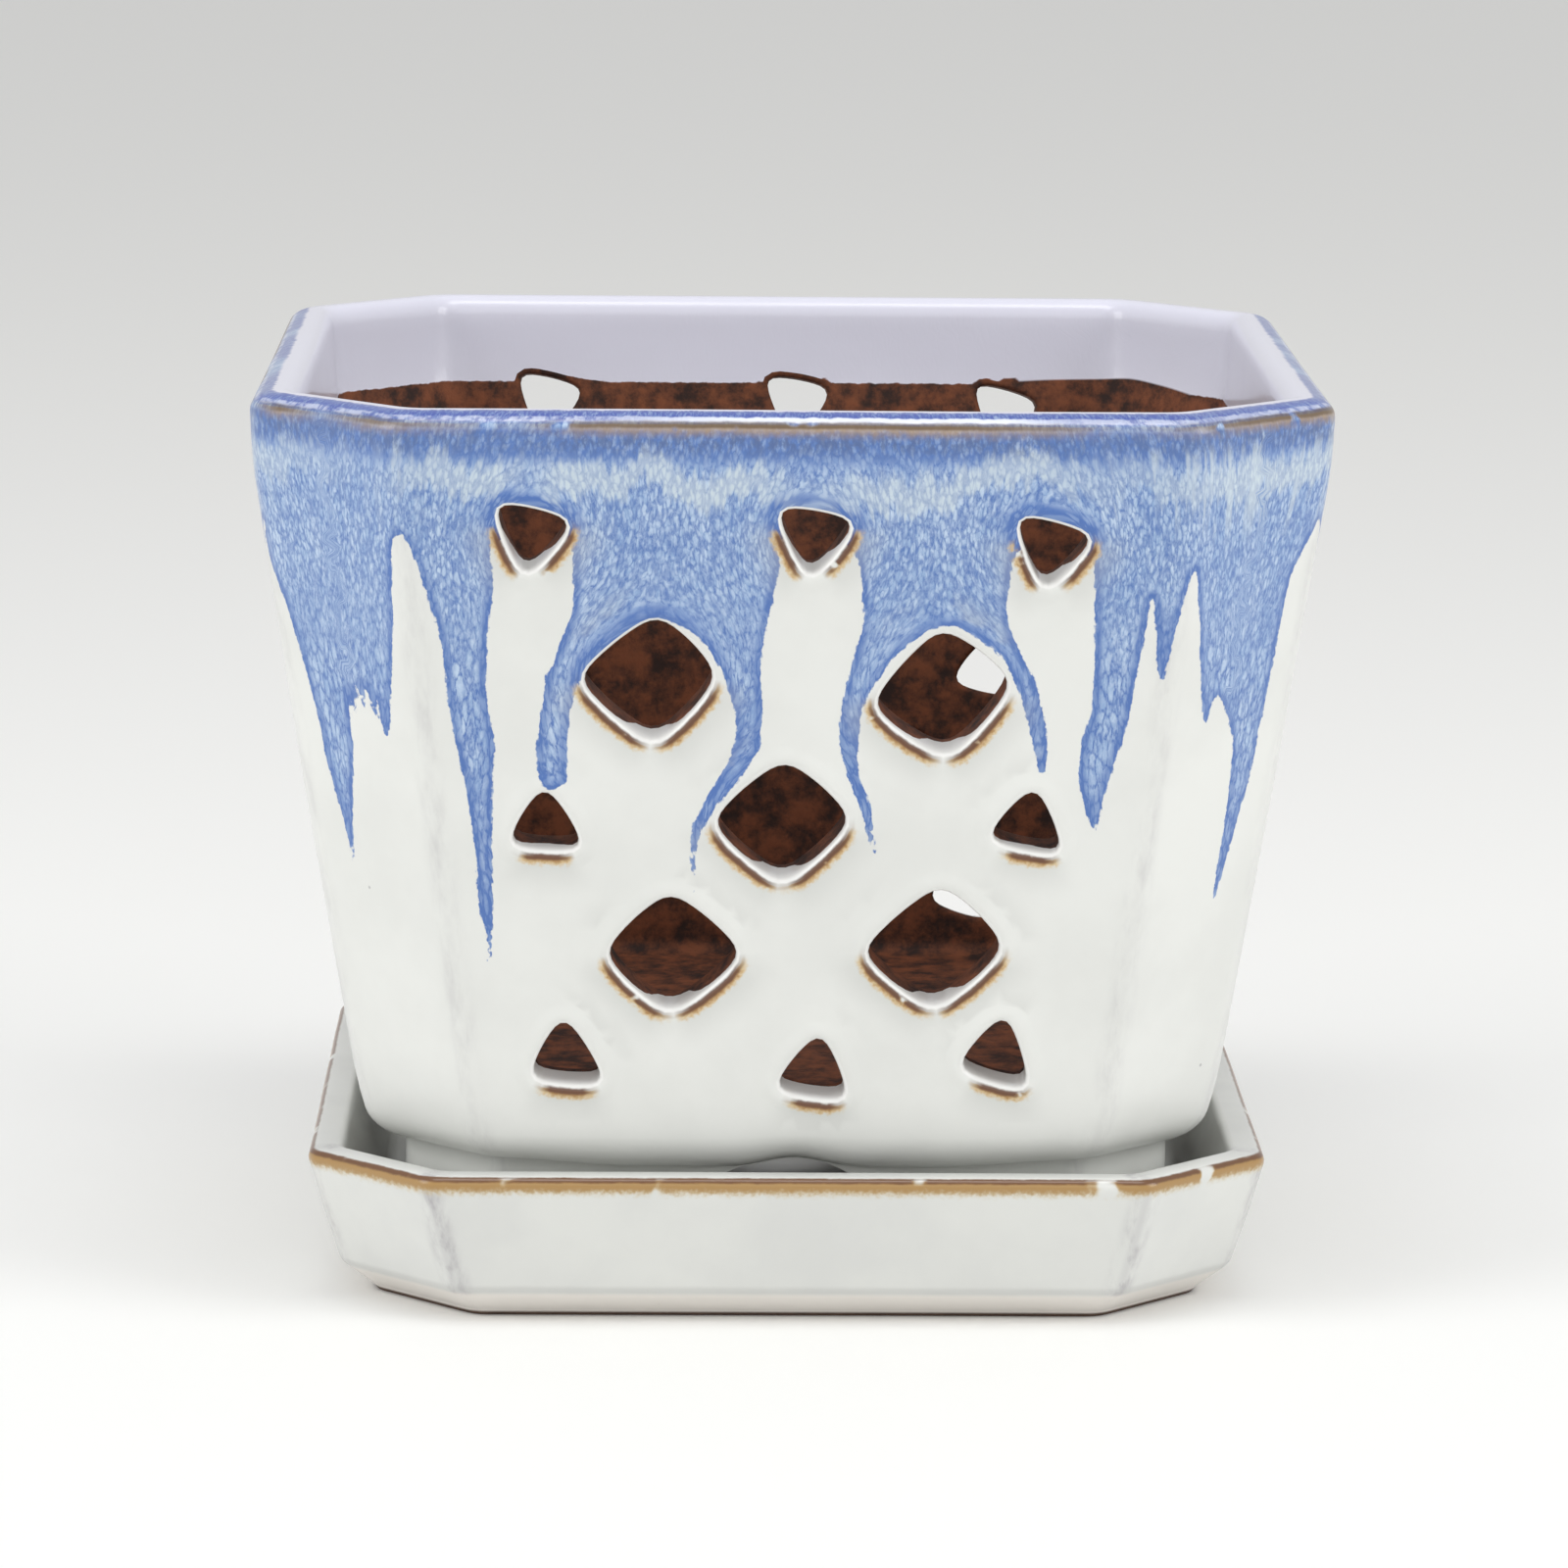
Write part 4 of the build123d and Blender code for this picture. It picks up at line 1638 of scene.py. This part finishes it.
        # Painted highlight: a pale line along the rim's round, broken into glints, where the lights would
        # shine.
        glints = bench.ease(bench.drawn(flow, 0.3, 0.3, 3.0, 0.6), 0.38, 0.56)
        shown = bench.times(self.painted_rim_highlight_on.mask(bench, across), front)
        glints = bench.most(bench.times(shown, shown), bench.times(glints, 0.55))
        light = bench.times(bench.window(place, *self.painted_rim_highlight_band), glints)
        pooled = bench.most(front, bench.ease(bench.drawn(flow, 0.03, 0.02), 0.42, 0.55))
        over = bench.times(bench.window(place, *self.rim_band), pooled)
        over = bench.times(over, bench.ease(fine["Fibre"], 0.0, 0.8, 0.5, 1.0))
        colour = bench.mix(over, colour, self.rim)
        colour = bench.mix(light, colour, self.painted_rim_highlight)
        gather = bench.ease(bench.drawn(flow, 0.045, 0.02), 0.36, 0.52)
        chosen = bench.times(self.rim_line_on.mask(bench, across), front)
        held = bench.plus(bench.times(gather, bench.rest(front)), chosen)
        dark = bench.ease(bench.drawn(flow, 0.9, 0.45, 4.0, 0.7), 0.38, 0.6)
        dark = bench.times(dark, bench.window(rim, *self.fleck_band))
        dark = bench.times(dark, bench.scaled(held, 0.3, 0.45))
        colour = bench.mix(dark, colour, self.fleck)
        pattern = bench.stretched(flow, (0.6, 0.6, 0.6))
        thin = self.rim_edge.shown(bench, effects, pattern, bench.minus(self.rim_edge_place, rim))
        glow = bench.times(bench.times(thin["Glow"], held), 0.85)
        colour = bench.mix(glow, colour, self.rim_glow)
        line = bench.times(bench.times(thin["Line"], held), 0.85)
        return bench.mix(line, colour, self.rim_line)

    def slot_colour(self, bench: NodeBench, effects: Effects, colour: Value, gap: Value, low: Value,
                    place: Value) -> Socket:
        """White slot lips; a brown line, a golden glow and a painted shadow beside and below their low sides.

        Args:
            bench: the material's bench.
            effects: the shared node groups.
            colour: the colour so far.
            gap: distance from a slot.
            low: share of a slot's low side.
            place: pattern coordinates.

        Returns:
            The new colour.
        """
        # Painted shadow: grey shading on the wall below the slots' low sides.
        beside = bench.times(low, bench.ease(gap, 1.0, 2.0))
        under = bench.times(bench.ease(gap, 2.5, 10.0, 0.3, 0.0), beside)
        colour = bench.mix(under, colour, self.shadow)
        colour = bench.mix(bench.ease(gap, 0.5, 0.8, 1.0, 0.0), colour, self.lip)
        thin = self.slot_edge.shown(bench, effects, place, bench.minus(gap, self.slot_edge_place))
        halo = bench.times(thin["Glow"], low)
        colour = bench.mix(bench.ease(halo, 0.05, 0.55, 0.0, 0.85), colour, self.halo)
        colour = bench.mix(bench.ease(halo, 0.4, 0.95, 0.0, 0.95), colour, self.glow)
        line = bench.times(bench.times(thin["Line"], low), 0.95)
        return bench.mix(line, colour, self.line)

    def bare_share(self, bench: NodeBench, rim: Value, place: Value) -> Socket:
        """Where the clay is bare: deep inside, deep in the slots, and where the foot stands.

        Args:
            bench: the material's bench.
            rim: distance along the profile past the outer face.
            place: pattern coordinates.

        Returns:
            The share.
        """
        ragged = bench.noise(place, 0.03, 1.0, 0.4)
        inside = bench.ease(bench.scaled(ragged, 9.0, rim), *self.bare_from)
        under = bench.ease(rim, *self.under_foot, 1.0, 0.0)
        wave = bench.noise(place, 0.5)
        cut = bench.ease(bench.scaled(wave, 0.8, bench.reading("bare_cut")), 0.2, 0.6)
        return bench.most(bench.most(inside, under), cut)


@dataclass(frozen=True)
class SaucerGlaze:
    """White glaze, brown where it thins over the rim, with painted shade and floor reflection at the heel."""

    gloss: Gloss = Gloss(rough=0.32)
    clay: BareClay = BareClay(light="6b5344", dark="3a2c25")
    white: str = "dcddd9"
    shade: str = "d5d6d3"
    line: str = "6b4524"
    glow: str = "a37c40"
    halo: str = "c5b184"
    # bend colours a painted shade line at the heel's bend; band a painted floor reflection on the heel below
    # it.
    bend: str = "b9bab8"
    band: str = "ece6df"
    bend_level: float = 6.6
    smudge_and_shade: float = 0.95
    rim_edge: ThinEdge = ThinEdge(line=0.75, glow=4.8, breaks=0.2, size=0.12)
    rim_edge_place: float = 1.3
    inside_from: Range = (6.0, 14.0)
    clear_of_crease: float = 9.0
    foot_level: float = 0.9

    def material(self, effects: Effects) -> bpy.types.Material:
        """Make the material.

        Args:
            effects: the shared node groups.

        Returns:
            The material.
        """
        material, bench, place = new_finish("saucer_glaze_finish")
        rim = bench.reading("rim")
        inside = bench.ease(rim, *self.inside_from, 0.0, self.clear_of_crease)
        white = bench.place("ShaderNodeGroup", {
            "Place": place, "Crease": bench.plus(bench.reading("crease"), inside), "Smudge And Shade": self.smudge_and_shade,
            "White": linear(self.white), "Shade": linear(self.shade),
        }, node_tree=effects.white).outputs
        thin = self.rim_edge.shown(bench, effects, place, bench.minus(self.rim_edge_place, rim))
        level = bench.place("ShaderNodeSeparateXYZ", {"Vector": place}).outputs["Z"]
        outer = bench.ease(rim, 1.0, 0.0)
        # Painted shade: a grey line along the heel's bend.
        bend = bench.maths("ABSOLUTE", bench.minus(level, self.bend_level))
        bend = bench.times(bench.ease(bend, 0.2, 1.3, 0.4, 0.0), outer)
        colour = bench.mix(bend, white["Color"], self.bend)
        # Painted reflection: a warm pale band on the heel below the bend, where it faces the floor.
        band = bench.times(bench.ease(level, self.bend_level - 0.4, self.bend_level - 1.6), outer)
        colour = bench.mix(bench.times(band, 0.8), colour, self.band)
        colour = bench.mix(bench.ease(thin["Glow"], 0.05, 0.6, 0.0, 0.85), colour, self.halo)
        colour = bench.mix(bench.ease(thin["Glow"], 0.25, 0.72, 0.0, 0.92), colour, self.glow)
        colour = bench.mix(thin["Line"], colour, self.line)
        grain = bench.noise(place, 0.4, 5.0, 0.65)
        clay = bench.mix(grain, self.clay.dark, self.clay.light)
        bare = bench.ease(level, self.foot_level - 0.4, self.foot_level + 0.3, 1.0, 0.0)
        colour = bench.mix(bare, colour, clay)
        height = bench.plus(white["Height"], bench.times(grain, bare))
        self.gloss.dress(bench, colour, height, white["Mottle"], bare, self.clay.rough)
        return material


@dataclass(frozen=True)
class ProfileCorner:
    """A corner of the saucer's profile: its section's half-width and corner leg, its level, its round."""

    half: float
    leg: float
    level: float
    rounding: float


@dataclass
class Saucer:
    """The saucer: a profile line, swept by a node tree round a square with cut corners."""

    corners: tuple[ProfileCorner, ...] = (
        ProfileCorner(0.0, 0.0, 3.0, 0.0),
        ProfileCorner(71.6, 14.6, 3.0, 1.4),
        ProfileCorner(72.2, 15.0, 0.0, 0.9),
        ProfileCorner(81.0, 20.0, 0.0, 0.5),
        ProfileCorner(82.0, 20.6, 1.3, 1.4),
        ProfileCorner(88.2, 23.4, 6.6, 4.6),
        ProfileCorner(91.5, 23.9, 18.0, 30.0),
        ProfileCorner(94.7, 24.3, 30.4, 2.1),
        ProfileCorner(87.3, 20.5, 30.4, 2.1),
        ProfileCorner(81.3, 19.2, 11.0, 3.6),
        ProfileCorner(0.0, 0.0, 11.0, 0.0),
    )
    eighth: int = 26
    edge_radius: float = 6.4
    edge_grows: Range = (5.0, 60.0)
    rim_along: float = 119.0
    longest: float = 2.4
    waver: float = 0.5
    waver_half: float = 94.0
    waver_scale: float = 22.0
    seed: int = 5
    merge: float = 0.005
    flat_share: float = 0.5
    bend_share: float = 0.72

    def profile(self) -> bpy.types.Object:
        """The profile line, as half-width, leg and level, with its rounds as an attribute.

        Returns:
            The line.
        """
        mesh = bpy.data.meshes.new("saucer")
        points = [(corner.half * MM, corner.leg * MM, corner.level * MM) for corner in self.corners]
        mesh.from_pydata(points, [(index, index + 1) for index in range(len(points) - 1)], [])
        rounds = mesh.attributes.new("round", "FLOAT", "POINT")
        rounds.data.foreach_set("value", [corner.rounding * MM for corner in self.corners])
        return placed("saucer_profile", mesh)

    def tree(self) -> bpy.types.NodeTree:
        """The node tree that sweeps the profile.

        Returns:
            The tree.
        """
        tree = bpy.data.node_groups.new("cut_corner_tray", "GeometryNodeTree")
        tree.interface.new_socket(name="Profile", in_out="INPUT", socket_type="NodeSocketGeometry")
        for name, kind in (
            ("Eighth", "NodeSocketInt"), ("Edge Radius", "NodeSocketFloat"), ("Rim Along", "NodeSocketFloat"),
            ("Longest Step", "NodeSocketFloat"), ("Waver", "NodeSocketFloat"), ("Seed", "NodeSocketInt"),
            ("Glaze", "NodeSocketMaterial"),
        ):
            tree.interface.new_socket(name=name, in_out="INPUT", socket_type=kind)
        tree.interface.new_socket(name="Tray", in_out="OUTPUT", socket_type="NodeSocketGeometry")
        bench = NodeBench(tree)
        given = bench.place("NodeGroupInput").outputs
        line = bench.place("GeometryNodeMeshToCurve", {"Mesh": given["Profile"]}).outputs["Curve"]
        rounds = bench.place("GeometryNodeInputNamedAttribute", {"Name": "round"}, data_type="FLOAT")
        line = bench.place("GeometryNodeFilletCurve", {
            "Curve": line, "Count": 5, "Radius": rounds.outputs["Attribute"], "Limit Radius": True,
        }, mode="POLY").outputs["Curve"]
        spot = bench.place("GeometryNodeInputPosition").outputs[0]
        index = bench.place("GeometryNodeInputIndex").outputs[0]
        following = bench.place("GeometryNodeFieldAtIndex", {
            "Index": bench.plus(index, 1.0), "Value": spot,
        }, data_type="FLOAT_VECTOR", domain="POINT").outputs[0]
        step = bench.vectors("DISTANCE", {0: following, 1: spot}).outputs["Value"]
        inputs = {"Curve": line, "Cuts": bench.whole(step, given["Longest Step"])}
        line = bench.place("GeometryNodeSubdivideCurve", inputs).outputs["Curve"]
        rows = bench.place("GeometryNodeAttributeDomainSize", {"Geometry": line}, component="CURVE")
        rows = rows.outputs["Point Count"]
        columns = bench.scaled(given["Eighth"], 8.0, 1.0)
        inputs = {"Vertices X": columns, "Vertices Y": rows}
        shape = bench.place("GeometryNodeMeshGrid", inputs).outputs["Mesh"]
        row = bench.maths("FLOORED_MODULO", index, rows)
        column = bench.whole(bench.plus(index, 0.5), rows)
        length = bench.place("GeometryNodeSplineParameter").outputs["Length"]
        section, along = (
            bench.place("GeometryNodeSampleIndex", {"Geometry": line, "Value": value, "Index": row},
                        data_type=kind, domain="POINT").outputs["Value"]
            for value, kind in ((spot, "FLOAT_VECTOR"), (length, "FLOAT"))
        )
        place, crease = self.section_place(bench, section, column, given)
        rim = bench.times(bench.minus(along, given["Rim Along"]), 1 / MM)
        for name, value in (("rim", rim), ("crease", bench.times(crease, 1 / MM))):
            inputs = {"Geometry": shape, "Name": name, "Value": value}
            shape = bench.place("GeometryNodeStoreNamedAttribute", inputs, data_type="FLOAT", domain="POINT")
            shape = shape.outputs["Geometry"]
        chance = bench.place("ShaderNodeTexNoise", {
            "Vector": spot, "W": given["Seed"], "Scale": self.waver_scale, "Detail": 1.0,
        }, noise_dimensions="4D").outputs["Fac"]
        pull = bench.times(bench.times(chance, given["Waver"]), -1 / (self.waver_half * MM))
        level_free = bench.vectors("MULTIPLY", {0: spot, 1: (1.0, 1.0, 0.0)}).outputs[0]
        offset = bench.vectors("SCALE", {0: level_free, "Scale": pull}).outputs[0]
        for kind, inputs in (
            ("SetPosition", {"Position": place}), ("SetPosition", {"Offset": offset}),
            ("MergeByDistance", {"Distance": self.merge * MM}), ("SetShadeSmooth", {}),
            ("RealizeInstances", {}), ("SetMaterial", {"Material": given["Glaze"]}),
        ):
            shape = bench.place("GeometryNode" + kind, {"Geometry": shape, **inputs}).outputs[0]
        bench.place("NodeGroupOutput", {"Tray": shape})
        return tree

    def section_place(self, bench: NodeBench, section: Value, column: Value,
                      given: Outputs) -> tuple[Socket, Socket]:
        """Nodes for the place of a column on a level section, and its distance from the upright edge.

        Args:
            bench: the tree's bench.
            section: half-width, leg and level.
            column: number of the column.
            given: the tree's inputs.

        Returns:
            The place and the distance.
        """
        parts = bench.place("ShaderNodeSeparateXYZ", {"Vector": section}).outputs
        half, leg, level = parts["X"], parts["Y"], parts["Z"]
        low, high = self.edge_grows
        radius = bench.times(given["Edge Radius"], bench.ease(half, low * MM, high * MM))
        flat_share, bend_share, eighth = self.flat_share, self.bend_share, given["Eighth"]
        side = bench.whole(bench.plus(column, 0.001), eighth)
        within = bench.over(bench.minus(column, bench.times(side, eighth)), eighth)
        odd = bench.maths("FLOORED_MODULO", side, 2.0)
        share = bench.maths("ABSOLUTE", bench.minus(odd, within))
        on_flat = bench.over(share, flat_share, clamp=True)
        bend = bench.over(bench.minus(share, flat_share), bend_share - flat_share, clamp=True)
        bend = bench.times(bend, pi / 4)
        on_cut = bench.over(bench.minus(share, bend_share), 1 - bend_share, clamp=True)
        trim = bench.times(radius, EDGE_TRIM)
        flat = bench.minus(bench.minus(half, leg), trim)
        bevel = bench.minus(bench.times(leg, HALF_ROOT), trim)
        run = bench.times(bench.times(on_cut, bevel), HALF_ROOT)
        walked = bench.times(on_flat, flat)
        across = bench.plus(bench.scaled(radius, bench.maths("SINE", bend), walked), run)
        drop = bench.times(radius, bench.rest(bench.maths("COSINE", bend)))
        out = bench.minus(bench.minus(half, drop), run)
        across = bench.times(across, bench.scaled(odd, -2.0, 1.0))
        flatwise = {"X": across, "Y": bench.times(out, -1.0), "Z": level}
        flatwise = bench.place("ShaderNodeCombineXYZ", flatwise).outputs[0]
        quarter = bench.whole(bench.plus(side, 1.0), 2.0)
        turned = bench.place("ShaderNodeVectorRotate", {
            "Vector": flatwise, "Angle": bench.times(quarter, pi / 2),
        }, rotation_type="Z_AXIS").outputs[0]
        length = bench.plus(bench.scaled(radius, bend, walked), bench.times(on_cut, bevel))
        middle = bench.scaled(radius, pi / 8, flat)
        return turned, bench.maths("ABSOLUTE", bench.minus(length, middle))

    def build(self, glaze: bpy.types.Material) -> bpy.types.Object:
        """Build the saucer.

        Args:
            glaze: its finish.

        Returns:
            The piece.
        """
        line = self.profile()
        tree = self.tree()
        modifier = line.modifiers.new("tray", "NODES")
        modifier.node_group = tree
        given = {
            "Eighth": self.eighth, "Edge Radius": self.edge_radius * MM, "Rim Along": self.rim_along * MM,
            "Longest Step": self.longest * MM, "Waver": self.waver * MM, "Seed": self.seed, "Glaze": glaze,
        }
        for item in tree.interface.items_tree:
            if item.in_out == "INPUT" and item.name in given:
                modifier[item.identifier] = given[item.name]
        graph = bpy.context.evaluated_depsgraph_get()
        mesh = bpy.data.meshes.new_from_object(line.evaluated_get(graph), depsgraph=graph)
        line.modifiers.clear()
        bpy.data.objects.remove(line)
        close_up(mesh)
        mesh.name = "orchid_saucer"
        return placed("orchid_saucer", mesh)


@dataclass(frozen=True)
class Lamp:
    """A soft light: where it hangs, what it faces, its size and its power."""

    name: str
    place: tuple[float, float, float]
    size: tuple[float, float]
    power: float
    target: tuple[float, float, float] = (0.0, 0.0, 0.1)


@dataclass
class Studio:
    """A plain pale floor, soft light and the camera."""

    eye: tuple[float, float, float] = (-0.0241, -1.4354, 0.3471)
    aim: tuple[float, float, float] = (0.0, 0.0, 0.091)
    lens: float = 164.0
    roll: float = radians(0.45)
    floor_half: float = 6.0
    floor_colour: str = "f5f5f3"
    floor_rough: float = 0.6
    sky: float = 0.65
    lamps: tuple[Lamp, ...] = (
        Lamp("left_lamp", (-1.6, -0.7, 0.9), (0.9, 1.1), 10.0),
        Lamp("right_lamp", (1.6, -0.7, 0.9), (0.9, 1.1), 10.0),
        Lamp("front_lamp", (0.1, -2.0, 0.9), (0.8, 0.8), 1.5),
        Lamp("top_lamp", (0.0, -0.45, 1.7), (1.3, 0.5), 8.0),
    )

    def build(self) -> None:
        """Set up the floor, the lights and the camera."""
        scene = bpy.context.scene
        scene.view_settings.view_transform = "Standard"
        mesh = bpy.data.meshes.new("floor")
        half = self.floor_half
        corners = [(-half, -half, 0), (half, -half, 0), (half, half, 0), (-half, half, 0)]
        mesh.from_pydata(corners, [], [(0, 1, 2, 3)])
        floor = placed("floor", mesh)
        material = bpy.data.materials.new("floor_finish")
        material.use_nodes = True
        shader = material.node_tree.nodes["Principled BSDF"].inputs
        shader["Base Color"].default_value = linear(self.floor_colour)
        shader["Roughness"].default_value = self.floor_rough
        mesh.materials.append(material)
        world = bpy.data.worlds.new("soft_sky")
        world.use_nodes = True
        sky = world.node_tree.nodes["Background"].inputs
        sky["Color"].default_value = linear("ffffff")
        sky["Strength"].default_value = self.sky
        scene.world = world
        for lamp in self.lamps:
            data = bpy.data.lights.new(lamp.name, "AREA")
            data.shape = "RECTANGLE"
            data.size, data.size_y = lamp.size
            data.energy = lamp.power
            light = placed(lamp.name, data)
            light.location = lamp.place
            away = Vector(lamp.target) - Vector(lamp.place)
            light.rotation_euler = away.to_track_quat("-Z", "Y").to_euler()
        camera = placed("camera", bpy.data.cameras.new("camera"))
        camera.data.lens = self.lens
        camera.data.sensor_width = 36.0
        camera.location = self.eye
        look = (Vector(self.aim) - Vector(self.eye)).to_track_quat("-Z", "Y")
        camera.rotation_euler = (look.to_matrix() @ Matrix.Rotation(self.roll, 3, "Z")).to_euler()
        scene.camera = camera


def report(piece: bpy.types.Object) -> None:
    """Log a piece's size.

    Args:
        piece: the piece.
    """
    mesh = piece.data
    work = bmesh.new()
    work.from_mesh(mesh)
    loose = sum(1 for edge in work.edges if len(edge.link_faces) != 2)
    work.free()
    log.info("%s: %d triangles, %d open edges", piece.name, len(mesh.polygons), loose)


def main() -> None:
    """Build both pieces, dress them and set up the studio."""
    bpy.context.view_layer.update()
    effects = Effects()
    Studio().build()
    saucer = Saucer().build(SaucerGlaze().material(effects))
    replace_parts(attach(saucer, "saucer"), "saucer")
    report(saucer)
    pot = Pot().build()
    pot.data.materials.append(PotGlaze().material(effects))
    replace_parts(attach(pot, "pot"), "pot")
    report(pot)


if __name__ == "__main__":
    main()
